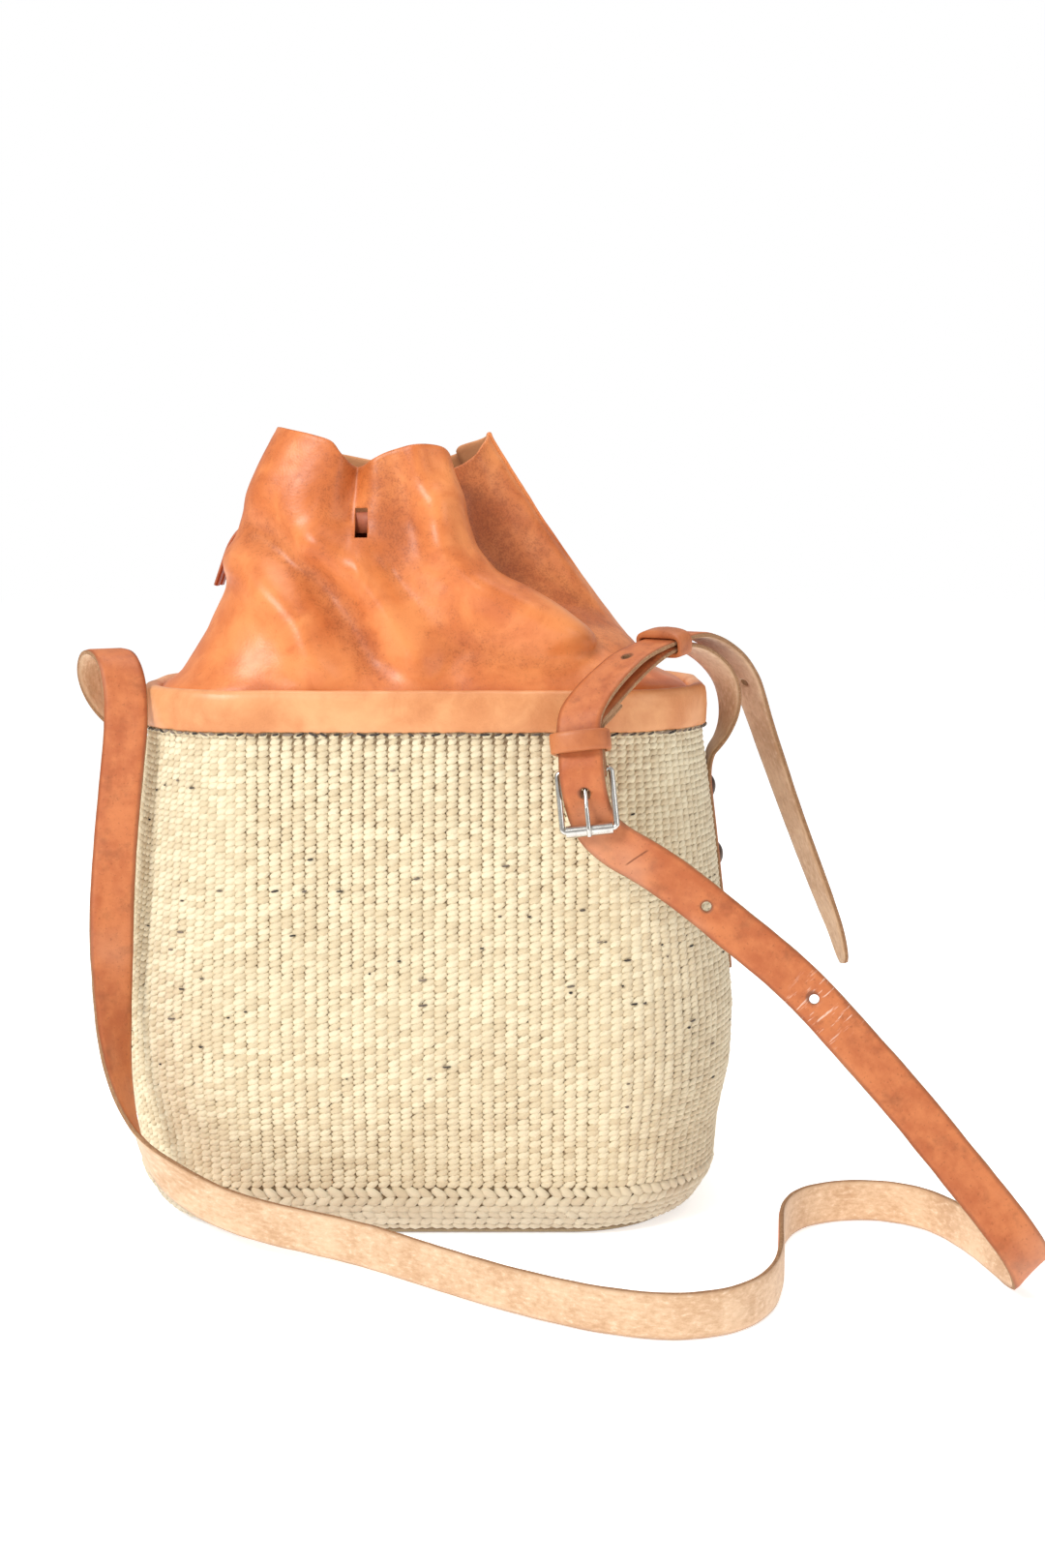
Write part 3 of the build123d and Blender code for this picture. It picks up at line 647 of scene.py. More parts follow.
def makeFlecks():
    # short dark dashes where a dyed thread shows between the stitches
    random = np.random.default_rng(flecks["seed"])
    stamp = grainStamp("fleckStamp", 1, 1, 1, 0.4)
    rows = []
    for k in range(flecks["count"]):
        row = int(random.triangular(flecks["lowRow"], flecks["usualRow"], flecks["highRow"]))
        level = weave["first"] + weave["pitch"] * (row + 0.5)
        share = (int(random.random() * weave["columns"]) + 0.5 * (k % 2)) / weave["columns"]
        spot, normal, round_ = wallPoint(share, level, -0.0001)
        size = (random.uniform(flecks["shortest"], flecks["longest"]), flecks["thick"], flecks["rise"])
        rows.append((spot, normal, round_ + Vector((0, 0, flecks["rising"])), size))
    piece = scattered("dark_flecks", rows, stamp, thread, 9, 0.1, 0.2)
    remove(stamp)
    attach(piece, "bag")


makeFlecks()


fibres = {"count": 900, "seed": 23, "stations": 5, "footLevel": 0.004, "footSpread": 0.009, "level": 0.02,
          "spread": 0.21,
          "footLength": (0.003, 0.0075), "length": (0.002, 0.0042), "girth": 0.0032}


def makeFibres():
    # loose ends of fibre that stand off the wall, most of them at its foot
    random = np.random.default_rng(fibres["seed"])
    stations = fibres["stations"]
    points = []
    for k in range(stations):
        t = k / (stations - 1)
        girth = 0.5 * (1 - 0.7 * t)
        for side in range(3):
            angle = 2 * math.pi * side / 3
            points.append((t, 0.06 * girth * math.cos(angle) * 0.35 + 0.25 * t * t,
                           0.02 * girth * math.sin(angle) + 0.28 * t * (1.2 - t)))
    faces = grid(3, stations, True) + [(2, 1, 0), tuple(range(3 * stations - 3, 3 * stations))]
    stamp = build("fibreStamp", points, faces, [sisal])
    rows = []
    for k in range(fibres["count"]):
        low = k % 3 > 0
        if low:
            level = fibres["footLevel"] + abs(random.normal(0, fibres["footSpread"]))
        else:
            level = fibres["level"] + fibres["spread"] * random.random()
        spot, normal, round_ = wallPoint(random.random(), level, 0.0006)
        up = normal.cross(round_)
        turn = random.uniform(0, 2 * math.pi)
        along = round_ * math.cos(turn) + up * math.sin(turn) * 0.5
        if spot.z < 0.012:
            along.z = abs(along.z)
        length = random.uniform(*(fibres["footLength"] if low else fibres["length"]))
        rows.append((spot, normal, along, (length, fibres["girth"], length)))
    piece = scattered("loose_fibres", rows, stamp, sisal, 31, 0.3, 0.2)
    remove(stamp)
    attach(piece, "bag")


makeFibres()
print("basket woven")

rim = {"bottom": 0.236, "top": 0.2549, "outer": 0.0144, "inner": 0.0227, "leather": 0.0018, "around": 320}


def rimProfile(share):
    angle = 2 * math.pi * share
    ring = Vector((math.cos(angle) * 6, math.sin(angle) * 6, 0))
    wave = noise.noise(ring) * 0.0005
    hem = noise.noise(ring * 3 + Vector((9, 0, 0))) * 0.0005
    swell = 0.0003 * noise.noise(ring * 2 + Vector((0, 5, 0)))
    out, back = rim["outer"], rim["inner"]
    low, high = rim["bottom"] + hem, rim["top"] + wave * 0.5
    skin = rim["leather"]
    outside = [(out + 0.0006, low), (out + 0.0001, low + 0.0008), (out - swell, low + 0.004),
               (out - 0.0002 - swell, low + 0.009), (out + 0.0001, high - 0.0045),
               (out + 0.0007, high - 0.0018),
               (out + 0.0021, high - 0.0003), ((out + back) / 2, high)]
    inside = [(back - 0.0021, high - 0.0003), (back - 0.0006, high - 0.0018), (back, high - 0.005),
              (back, low + 0.006), (back, low)]
    under = [(back - skin, low), (back - skin, high - skin), (out + skin, high - skin), (out + skin, low)]
    return outside + inside + under


rimBinding = swept("rim_leather", rimProfile, rim["around"], [rimLeather])
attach(rimBinding, "bag")
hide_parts("rim_binding")


threads = {"seed": 5, "outside": 150, "inside": 76, "seamHeight": 0.241, "seamInset": 0.0092, "below": 0.0009,
           "proud": 0.0014, "tilts": (-0.35, 0.12, 0.3), "stitch": (0.0052, 0.0012, 0.0009),
           "seamStitch": (0.005, 0.001, 0.0008)}


def makeThreads():
    # dark thread that shows in dashes under the binding's lower edge, and the collar's seam inside
    random = np.random.default_rng(threads["seed"])
    stamp = grainStamp("threadStamp", 1, 1, 1, 0.4)
    outside, inside = [], []
    longest, wide, rise = threads["stitch"]
    for k in range(threads["outside"]):
        share = (k + 0.5) / threads["outside"] + random.normal(0, 0.0004)
        spot, normal, round_ = wallPoint(share, rim["bottom"] - threads["below"], 0, threads["proud"])
        along = round_ + Vector((0, 0, random.choice(threads["tilts"])))
        outside.append((spot, normal, along, (longest * random.uniform(0.6, 1.1), wide, rise)))
    for k in range(threads["inside"]):
        spot, normal, round_ = wallPoint((k + 0.5) / threads["inside"], threads["seamHeight"],
                                         threads["seamInset"])
        inside.append((spot, normal * -1, Vector((0, 0, 1)), threads["seamStitch"]))
    for name, rows, node in (("rim_thread", outside, "rim_stitching"),
                             ("collar_thread", inside, "collar_stitching")):
        piece = scattered(name, rows, stamp, thread, 3, 0.12, 0.1)
        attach(piece, "bag")
        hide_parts(node)
    remove(stamp)


makeThreads()
print("rim bound")

# gathered collar

collar = {"bottom": 233, "rimHeight": 253, "insetInRim": 0.0232, "leather": 0.002, "around": 340,
          "levels": 84,
          "sections": ((259, -3, 113, 64, 46), (280, -4.5, 98.5, 58, 42), (303, -8, 84, 50, 38),
                       (330, -16, 73, 41, 34), (352, -18, 61, 38, 32), (376, -19, 47, 35, 29)),
          # top edge: share of the way round, height
          "edge": ((0.0, 367), (0.03, 359), (0.052, 353.5), (0.07, 357), (0.10, 362), (0.14, 365.5),
                   (0.165, 365),
                   (0.19, 359), (0.225, 352), (0.26, 356), (0.30, 366), (0.345, 373), (0.38, 373),
                   (0.44, 366),
                   (0.50, 362), (0.60, 359), (0.70, 364), (0.80, 371), (0.86, 374.5), (0.91, 373.5),
                   (0.96, 370.5), (1, 367)),
          # how far right the front lobe reaches at each height
          "lobe": ((262, 104), (275, 91), (286, 69), (299, 50), (306, 35), (319, 25), (334, 19), (360, 13),
                   (377, 9)),
          # inward pleats: share, width, depth at the top, height where it starts
          "pleats": ((0.052, 0.017, 15, 300), (0.44, 0.030, 17, 285), (0.60, 0.022, 13, 290),
                     (0.735, 0.02, 11, 285),
                     (0.80, 0.016, 6, 300)),
          # browner places, the back flap partly painted shade: share, spread, height where they start, amount
          "browns": ((0.255, 0.060, 262, 1.5), (0.10, 0.03, 300, 0.8), (0.90, 0.035, 296, 0.35),
                     (0.045, 0.03, 300, 0.35), (0.0, 0.05, 330, 0.3),
                     (0.60, 0.09, 290, 0.4)),
          # soft folds on the front: height of the fold's crest, its width, and its line in x and z
          "folds": ((-7.0, 11, ((-84, 327), (-62, 313), (-49, 304), (-35, 286), (-23, 266), (-21, 250))),
                    (6.5, 9, ((-95, 318), (-74, 303), (-55, 284), (-47, 258))),
                    (6.0, 8, ((-50, 320), (-29, 308), (-14, 289), (2, 268))),
                    (-6.5, 7, ((-16, 308), (-6, 294), (6, 273), (12, 256))),
                    (6.5, 7, ((8, 340), (12, 316), (26, 300), (60, 284), (92, 268))),
                    (-4.5, 9, ((20, 272), (42, 268), (66, 262))),
                    (3.5, 6, ((-4, 362), (2, 338), (6, 318))),
                    (4.0, 7, ((-66, 368), (-76, 348), (-88, 328))),
                    (2.6, 5, ((-29, 320), (-28, 308)))),
          # and on the back
          "backFolds": ((-5, 9, ((-34, 330), (-44, 300), (-40, 275), (-52, 256))),
                        (4.5, 9, ((-62, 345), (-66, 315), (-78, 285), (-84, 262))),
                        (4.5, 9, ((-18, 318), (-20, 295), (-12, 268))),
                        (-5, 8, ((6, 322), (16, 300), (28, 280), (30, 258))),
                        (5, 9, ((30, 330), (40, 305), (52, 285), (70, 262))))}


def lineDistance(x, z, line):
    best = 1e9
    for (ax, az), (bx, bz) in zip(line, line[1:]):
        dx, dz = bx - ax, bz - az
        t = min(1, max(0, ((x - ax) * dx + (z - az) * dz) / (dx * dx + dz * dz)))
        best = min(best, math.hypot(x - ax - t * dx, z - az - t * dz))
    return best


def collarBody(share, z):
    # the gathered sleeve's middle line at a height, in millimetres, without its soft folds
    point, out = roundedBox(share, basket["halfWidth"] - collar["insetInRim"],
                            basket["halfDepth"] - collar["insetInRim"],
                            basket["corner"] - collar["insetInRim"])
    inRim = Vector((point.x, point.y)) * 1000
    if z <= collar["rimHeight"]:
        return inRim
    heights = [collar["rimHeight"]] + [row[0] for row in collar["sections"]]
    row = []
    first = (0, (basket["halfWidth"] - collar["insetInRim"]) * 1000,
             (basket["halfDepth"] - collar["insetInRim"]) * 1000,
             (basket["corner"] - collar["insetInRim"]) * 1000)
    for column in range(4):
        row.append(float(np.interp(z, heights,
                                   [first[column]] + [r[column + 1] for r in collar["sections"]])))
    centre, halfX, halfY, radius = row
    point, out = roundedBox(share, halfX, halfY, radius)
    body = Vector((point.x + centre, point.y))
    share %= 1
    if 0.09 < share < 0.36:
        grown = min(1, max(0, (z - 258) / 34))
        grown = grown * grown * (3 - 2 * grown)
        lobe = float(np.interp(z, *zip(*collar["lobe"])))
        right = centre + halfX
        front = -halfY
        start, _ = roundedBox(0.09, halfX, halfY, radius)
        knots = (0.09, 0.14, 0.165, 0.180, 0.200, 0.225, 0.245, 0.285, 0.325, 0.36)
        xs = (start.x + centre, lobe - 14, lobe - 2.5, lobe, lobe - 3, lobe - 11, lobe - 4,
              (lobe + right) / 2, right - 3, right)
        ys = (front, front, front + 3, front + 9, front + 20, -12, -8, -5, 2, 12)
        folded = Vector((float(np.interp(share, knots, xs)), float(np.interp(share, knots, ys))))
        body = body.lerp(folded, grown)
    for centreShare, width, depth, start in collar["pleats"]:
        away = min(abs(share - centreShare), 1 - abs(share - centreShare)) / width
        if away < 3 and z > start:
            rise = min(1, (z - start) / (376 - start))
            body = body - out * depth * rise ** 1.1 * math.exp(-away * away)
    return body


def makeCollar():
    around, levels = collar["around"], collar["levels"]
    tops = soften(np.interp(np.arange(around) / around, *zip(*collar["edge"])), 7)
    middle = np.zeros((levels, around, 3))
    for r in range(levels):
        up = r / (levels - 1)
        for c in range(around):
            z = collar["bottom"] + up * (tops[c] - collar["bottom"])
            body = collarBody(c / around, z)
            middle[r, c] = (body.x, body.y, z)
        for k in range(2):
            middle[r, :, k] = soften(middle[r, :, k], 4)
    for k in range(2):
        for c in range(around):
            middle[:, c, k] = soften(middle[:, c, k], 2, False)

    def normalsOf(points):
        round_ = np.roll(points, -1, axis=1) - np.roll(points, 1, axis=1)
        up = np.gradient(points, axis=0)
        cross = np.cross(round_, up)
        return cross / np.linalg.norm(cross, axis=2, keepdims=True)

    normals = normalsOf(middle)
    normals[:, :, 2] *= 0.3  # folds push mostly sideways, so the top edge stays even
    depth = np.zeros((levels, around))
    small = np.zeros((levels, around))
    for r in range(levels):
        for c in range(around):
            x, y, z = middle[r, c]
            free = min(1, max(0, (z - 252) / 14))
            push = 0.0
            for crest, width, line in collar["folds"] if y < 4 else collar["backFolds"]:
                away = lineDistance(x, z, line) / width
                if away < 2.6:
                    push += crest * math.exp(-away * away) * min(1, abs(y - 4) / 8)
            spot = Vector((x, y, z))
            depth[r, c] = push * free
            bump = 0.9 * noise.noise(spot / 30) + 0.35 * noise.noise(spot / 12) + 0.12 * noise.noise(spot / 4)
            small[r, c] = bump * free
    for r in range(levels):
        depth[r] = soften(depth[r], 3)
    for c in range(around):
        depth[:, c] = soften(depth[:, c], 3, False)
    middle += normals * (depth + small)[:, :, None]
    normals = normalsOf(middle)
    half = collar["leather"] * 500
    outer = middle + normals * half
    inner = middle - normals * half
    lip = middle[-1] + np.array((0, 0, half * 0.9))
    lipOut = outer[-1] * 0.5 + middle[-1] * 0.5 + np.array((0, 0, half * 0.75))
    lipIn = inner[-1] * 0.5 + middle[-1] * 0.5 + np.array((0, 0, half * 0.75))
    rows = list(outer) + [lipOut, lip, lipIn] + list(inner[::-1])
    points = np.concatenate(rows) / 1000
    count = len(rows)
    faces = grid(around, count, True)
    faces += [((count - 1) * around + c, (count - 1) * around + (c + 1) % around, (c + 1) % around, c)
              for c in range(around)]
    indices = [0] * (around * (levels + 1)) + [1] * (len(faces) - around * (levels + 1))
    piece = build("collarSleeve", points, faces, [collarLeather, collarInside], indices)
    # tint: painted shade in the fold valleys; browner at the slot, on the back flap, where it is partly
    # painted shade, and where folds rub
    tint = piece.data.uv_layers.new(name="tint")
    for loop in piece.data.loops:
        ring, c = divmod(loop.vertex_index, around)
        if ring < levels:
            x, y, z = middle[ring, c]
            # painted shade: the fold valleys, where the crest height is below zero, are browner
            brown = min(0.9, max(0.0, -depth[ring, c] / 7))
            for share, spread, low, amount in collar["browns"]:
                away = min(abs(c / around - share), 1 - abs(c / around - share)) / spread
                brown += amount * math.exp(-away * away) * min(1, max(0, (z - low) / 25))
            tint.data[loop.index].uv = (brown, 0)
    slots = [block((-0.0312, -0.085, 0.3232), (-0.0252, -0.010, 0.3368), strapEdge)]
    slots += [block((-0.115, y - 0.006, 0.3255), (-0.060, y + 0.006, 0.3345), strapEdge)
              for y in (0.008, 0.022)]
    return cut(piece, slots, "collar_leather"), middle


collarPiece, collarMiddle = makeCollar()
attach(collarPiece, "bag")
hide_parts("collar")
print("collar gathered")

# straps

def smoothLine(points, perSpan):
    curve = bpy.data.curves.new("route", "CURVE")
    curve.dimensions = "3D"
    spline = curve.splines.new("NURBS")
    spline.points.add(len(points) - 1)
    for spot, place in zip(spline.points, points):
        spot.co = (*place, 1)
    spline.order_u = 3
    spline.use_endpoint_u = True
    spline.resolution_u = perSpan
    carrier = bpy.data.objects.new("route", curve)
    bpy.context.scene.collection.objects.link(carrier)
    bpy.context.view_layer.update()
    graph = bpy.context.evaluated_depsgraph_get()
    mesh = bpy.data.meshes.new_from_object(carrier.evaluated_get(graph))
    line = [v.co.copy() for v in mesh.vertices]
    remove(carrier)
    return line


def ribbon(name, route, width, thickness, materials, perSpan=8, widthAt=None, wobble=0.0):
    # flat strap with rounded edges along a route of (point, direction of one edge), in millimetres
    centre = smoothLine([Vector(p) * 0.001 for p, _ in route], perSpan)
    side = smoothLine([Vector(p) * 0.001 + Vector(w).normalized() * 0.01 for p, w in route], perSpan)
    keep = [0] + [k for k in range(1, len(centre)) if (centre[k] - centre[k - 1]).length > 1e-5]
    centre, side = [centre[k] for k in keep], [side[k] for k in keep]
    travelled = [0.0]
    for before, here in zip(centre, centre[1:]):
        travelled.append(travelled[-1] + (here - before).length)
    total = travelled[-1]
    rows = 9
    soft = 0.0005
    shape = []
    for k in range(rows):
        share = -1 + 2 * k / (rows - 1)
        shape.append((share, thickness / 2 - (soft if k in (0, rows - 1) else 0), 0))
    shape.append((1.0, 0.0, 2))
    for k in range(rows):
        share = 1 - 2 * k / (rows - 1)
        shape.append((share, -thickness / 2 + (soft if k in (0, rows - 1) else 0), 1))
    shape.append((-1.0, 0.0, 2))
    count = len(shape)
    points, frames = [], []
    for k, spot in enumerate(centre):
        ahead = centre[min(k + 1, len(centre) - 1)] - centre[max(k - 1, 0)]
        tangent = ahead.normalized()
        across = side[k] - spot
        across = (across - tangent * across.dot(tangent)).normalized()
        out = tangent.cross(across)
        frames.append((spot, tangent, across, out))
        half = width / 2 * (widthAt(travelled[k], total) if widthAt else 1)
        for share, level, kind in shape:
            fray = wobble * noise.noise(Vector((travelled[k] * 90, share * 3, level * 900)))
            reach = share * (half - (0.0003 if level and abs(share) == 1 else 0)) + (fray
                if abs(share) == 1 else 0)
            points.append(spot + across * reach + out * level)
    faces, kinds = [], []
    for k in range(len(centre) - 1):
        for j in range(count):
            faces.append((k * count + j, k * count + (j + 1) % count, (k + 1) * count + (j + 1) % count,
                          (k + 1) * count + j))
            edge = j in (rows - 1, rows, count - 2, count - 1)
            kinds.append(2 if edge else (0 if j < rows - 1 else 1))
    faces.append(tuple(range(count))[::-1])
    faces.append(tuple(range(len(points) - count, len(points))))
    kinds += [2, 2]
    piece = build(name, points, faces, materials, kinds)
    lay = piece.data.uv_layers.new(name="lay")
    for loop in piece.data.loops:
        ring, j = divmod(loop.vertex_index, count)
        half = width / 2 * (widthAt(travelled[ring], total) if widthAt else 1)
        share, level, kind = shape[j]
        lay.data[loop.index].uv = (share * width / 2 if kind < 2 else level, travelled[ring])
    return piece, frames, travelled


leftTab = [((-149.3, 0, 112.1), (0, 1, 0)), ((-148.0, 0, 125.2), (0, 1, 0)), ((-144.5, 0, 150.2), (0, 1, 0)),
           ((-140.5, 0, 185.2), (0, 1, 0)), ((-136.5, 0, 215.2), (0, 1, 0))]
rightTab = [((149.2, 0, 112.1), (0, -1, 0)), ((147.9, 0, 125.2), (0, -1, 0)), ((144.4, 0, 150.2), (0, -1, 0)),
            ((140.4, 0, 185.2), (0, -1, 0)), ((136.4, 0, 215.2), (0, -1, 0))]
# route of the long strap after its tab: (point, direction of one edge), millimetres
shoulderRoute = [
    ((-148.0, -4.0, 230), (0.15, 1, 0)),
    ((-157.0, -10.0, 244), (0.35, 0.94, 0)),
    ((-159.0, -19.0, 260), (0.6, 0.8, 0)),
    ((-153.0, -30.0, 271), (0.8, 0.6, 0)),
    ((-142.5, -43.0, 269), (0.88, 0.47, 0)),
    ((-137.0, -52.0, 255), (0.96, 0.25, 0)),
    ((-136.0, -58.0, 235), (1, 0.05, 0)),
    ((-138.6, -63.0, 208), (1, 0, 0)),
    ((-141.0, -68.0, 178), (1, 0.05, 0)),
    ((-142.0, -74.0, 148), (0.95, 0.3, 0)),
    ((-141.0, -80.0, 120), (0.75, 0.66, 0)),
    ((-139.5, -86.0, 94), (0.5, 0.86, 0)),
    ((-135.0, -91.0, 70), (0.16, 0.96, -0.2)),
    ((-125.0, -96.0, 47), (-0.1, 0.66, -0.74)),
    ((-107.0, -101.0, 31.5), (-0.38, 0.28, -0.88)),
    ((-82.5, -106.5, 21.5), (-0.4, 0.14, -0.9)),
    ((-54.0, -113.0, 17), (-0.3, 0.08, -0.95)),
    ((-26.0, -123.5, 15), (-0.2, 0.05, -0.98)),
    ((0.0, -136.5, 12), (-0.1, 0, -1)),
    ((27.0, -154.0, 10.6), (0, 0, -1)),
    ((55.0, -172.0, 10.5), (0, 0, -1)),
    ((85.0, -187.0, 10.5), (0, 0, -1)),
    ((113.0, -191.5, 10.5), (0, 0, -1)),
    ((137.0, -182.5, 10.5), (0, 0, -1)),
    ((152.0, -163.0, 10.5), (0, 0, -1)),
    ((159.0, -138.0, 10.5), (0, 0, -1)),
    ((162.5, -110.0, 10.5), (0, 0, -1)),
    ((166.0, -88.0, 10.5), (0, 0, -1)),
    ((176.0, -69.0, 10.5), (0, 0, -1)),
    ((195.0, -59.0, 10.5), (0, 0, -1)),
    ((218.0, -58.5, 10.5), (0, 0, -1)),
    ((237.0, -69.5, 10.5), (0, 0, -1)),
    ((248.0, -92.0, 10.6), (-0.05, 0, -1)),
    ((255.5, -117.0, 10.8), (-0.25, -0.05, -0.96)),
    ((260.5, -138.0, 11.0), (-0.5, -0.1, -0.86)),
    ((263.0, -153.0, 13.0), (-0.7, -0.1, -0.7)),
    ((259.0, -161.0, 24.0), (-0.78, -0.1, -0.62)),
    ((249.0, -158.0, 38.0), (-0.8, 0, -0.6)),
    ((234.0, -148.5, 56.0), (-0.8, 0, -0.62)),
    ((213.5, -137.5, 81.0), (-0.78, 0, -0.64)),
    ((190.0, -128.5, 107.0), (-0.74, 0, -0.68)),
    ((166.0, -121.5, 133.0), (-0.68, 0, -0.74)),
    ((140.0, -115.5, 153.5), (-0.62, 0, -0.78)),
    ((117.0, -111.5, 172.0), (-0.66, 0, -0.75)),
    ((99.5, -107.0, 183.2), (-0.72, 0, -0.69)),
    ((88.0, -103.5, 188.8), (-0.84, 0.05, -0.54)),
    ((79.1, -102.0, 196.5), (-0.94, 0.08, -0.32)),
    ((75.0, -101.8, 205.8), (-0.985, 0.12, -0.125)),
    ((72.2, -108.0, 220.5), (-0.985, 0.12, -0.125)),
    ((72.0, -104.2, 229.8), (-0.985, 0.12, -0.125)),
    ((70.6, -100.6, 244.3), (-0.98, 0.18, -0.12)),
    ((75.0, -94.5, 252.5), (-0.95, 0.3, -0.1)),
    ((83.5, -85.5, 261.5), (-0.88, 0.46, -0.06)),
    ((94.5, -74.0, 270.5), (-0.8, 0.6, -0.02)),
    ((106.1, -62.1, 275.0), (-0.7466, 0.665, 0)),
    ((116.5, -50.3, 278.0), (-0.7466, 0.665, 0)),
    ((126.5, -39.0, 279.0), (-0.74, 0.67, 0)),
    ((136.5, -27.0, 274.8), (-0.7, 0.7, 0)),
    ((147.0, -14.5, 267.0), (-0.64, 0.76, -0.02)),
    ((155.0, -5.0, 256.0), (-0.58, 0.81, -0.05)),
    ((160.5, 3.0, 243.0), (-0.5, 0.86, -0.08)),
    ((166.5, 8.5, 227.0), (-0.45, 0.88, -0.1)),
    ((173.5, 12.0, 208.5), (-0.42, 0.9, -0.1)),
    ((181.5, 14.0, 187.0), (-0.38, 0.92, -0.1)),
    ((190.5, 15.0, 164.0), (-0.35, 0.93, -0.1)),
    ((200.0, 15.5, 140.0), (-0.32, 0.94, -0.1)),
    ((207.0, 15.2, 122.0), (-0.3, 0.95, -0.1)),
    ((210.0, 14.5, 109.0), (-0.3, 0.95, -0.1)),
]
# buckle strap: up to the heel bar, round it and a short way back
buckleRoute = [
    ((144.5, -4.0, 228), (0.15, -0.98, 0)),
    ((147.0, -9.5, 242), (0.35, -0.94, 0)),
    ((144.5, -17.5, 255), (0.5, -0.87, 0)),
    ((137.0, -27.0, 265), (0.62, -0.78, 0)),
    ((127.0, -38.5, 272), (0.71, -0.7, 0)),
    ((116.9, -49.9, 275.1), (0.7466, -0.665, 0)),
    ((106.5, -61.7, 272.0), (0.7466, -0.665, 0)),
    ((97.0, -71.5, 265.8), (0.8, -0.6, 0.02)),
    ((87.0, -81.8, 257.5), (0.88, -0.46, 0.06)),
    ((77.8, -91.0, 249.0), (0.95, -0.3, 0.1)),
    ((71.1, -97.5, 243.1), (0.98, -0.18, 0.12)),
    ((72.4, -100.5, 230.5), (0.985, -0.12, 0.125)),
]
foldBack = [
    ((72.8, -97.7, 229.9), (0.985, -0.12, 0.125)),
    ((71.7, -95.1, 241.4), (0.98, -0.18, 0.12)),
    ((78.5, -89.5, 246.6), (0.95, -0.3, 0.1)),
    ((83.2, -84.9, 250.9), (0.9, -0.4, 0.08)),
]
buckle = {"origin": Vector((75.9, -107, 196.8)) * 0.001, "x": Vector((0.985, -0.12, 0.125)).normalized(),
          "n": Vector((-0.145, -0.9655, 0.215)), "heel": 26.0, "foldRadius": 2.65}
buckle["n"] = (buckle["n"] - buckle["x"] * buckle["n"].dot(buckle["x"])).normalized()
buckle["u"] = buckle["n"].cross(buckle["x"])


def atBuckle(across, up, out):
    # millimetres in the buckle's own plane
    return buckle["origin"] + (buckle["x"] * across + buckle["u"] * up + buckle["n"] * out) * 0.001


def tipWidth(travelled, total):
    left = (total - travelled) / strap["taper"]
    if left >= 1:
        return 1
    return strap["tip"] + (1 - strap["tip"]) * math.sqrt(max(0, 1 - (1 - left) ** 2))


strapFinishes = [strapGrain, strapFlesh, strapEdge]
shoulderStrap, shoulderFrames, shoulderRun = ribbon(
    "shoulderRibbon", leftTab + shoulderRoute, strap["width"], strap["thickness"], strapFinishes, 9, tipWidth,
    0.00025)
prongRoot, prongBend = atBuckle(0, 24.4, 0.9), atBuckle(0, 9.0, 4.3)
prongMiddle = (prongRoot + prongBend) / 2
prongStop = min(range(len(shoulderFrames)), key=lambda k: (shoulderFrames[k][0] - prongMiddle).length)
prongRun = shoulderRun[prongStop]
for corner in shoulderStrap.data.uv_layers["lay"].data:
    corner.uv[1] -= prongRun


def holeCutters():
    cutters = [peg(prongMiddle, prongBend - prongRoot, strap["hole"], 0.014, strapEdge)]
    for spacing in strap["holes"]:
        target = prongRun + spacing
        k = min(range(len(shoulderRun)), key=lambda i: abs(shoulderRun[i] - target))
        spot, tangent, across, out = shoulderFrames[k]
        cutters.append(peg(spot, out, strap["hole"], 0.008, strapEdge))
    return cutters


shoulderStrap = cut(shoulderStrap, holeCutters(), "shoulder_leather")
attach(shoulderStrap, "bag")
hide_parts("shoulder_strap")

fold = buckle["foldRadius"]
turnPoints = [(atBuckle(0, 29.5, fold), buckle["x"]), (atBuckle(0, buckle["heel"] - fold, fold), buckle["x"]),
              (atBuckle(0, buckle["heel"] - fold, -fold), buckle["x"]),
              (atBuckle(0, 29.5, -fold), buckle["x"])]
turnPoints = [(tuple(point * 1000), tuple(across)) for point, across in turnPoints]
buckleStrap, buckleFrames, buckleRun = ribbon(
    "buckleRibbon", rightTab + buckleRoute + turnPoints + foldBack, strap["width"], strap["chape"],
    strapFinishes, 9, None, 0.0002)
prongSlot = []
for up in (-0.0055, -0.002, 0.002, 0.0055):
    spot = atBuckle(0, buckle["heel"], 0) + buckle["u"] * up
    prongSlot.append(peg(spot, buckle["n"], 0.0018, 0.012, strapEdge))
buckleStrap = cut(buckleStrap, prongSlot, "buckle_leather")
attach(buckleStrap, "bag")
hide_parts("buckle_strap")
print("straps laid, prong hole at", round(prongRun, 3))

# drawstring

thong = {"height": 330, "width": 0.010, "thickness": 0.0018, "covered": 7.5, "gap": 3.1, "gapAtSlot": 2.1,
         "tails": (8.0, 22.0),
         "drop": ((4.5, 1.5), (1.0, 0.0), (-5.5, -2.5), (-11.0, -10.0), (-14.5, -20.0), (-18.0, -30.0)),
         "exit": -86.7}


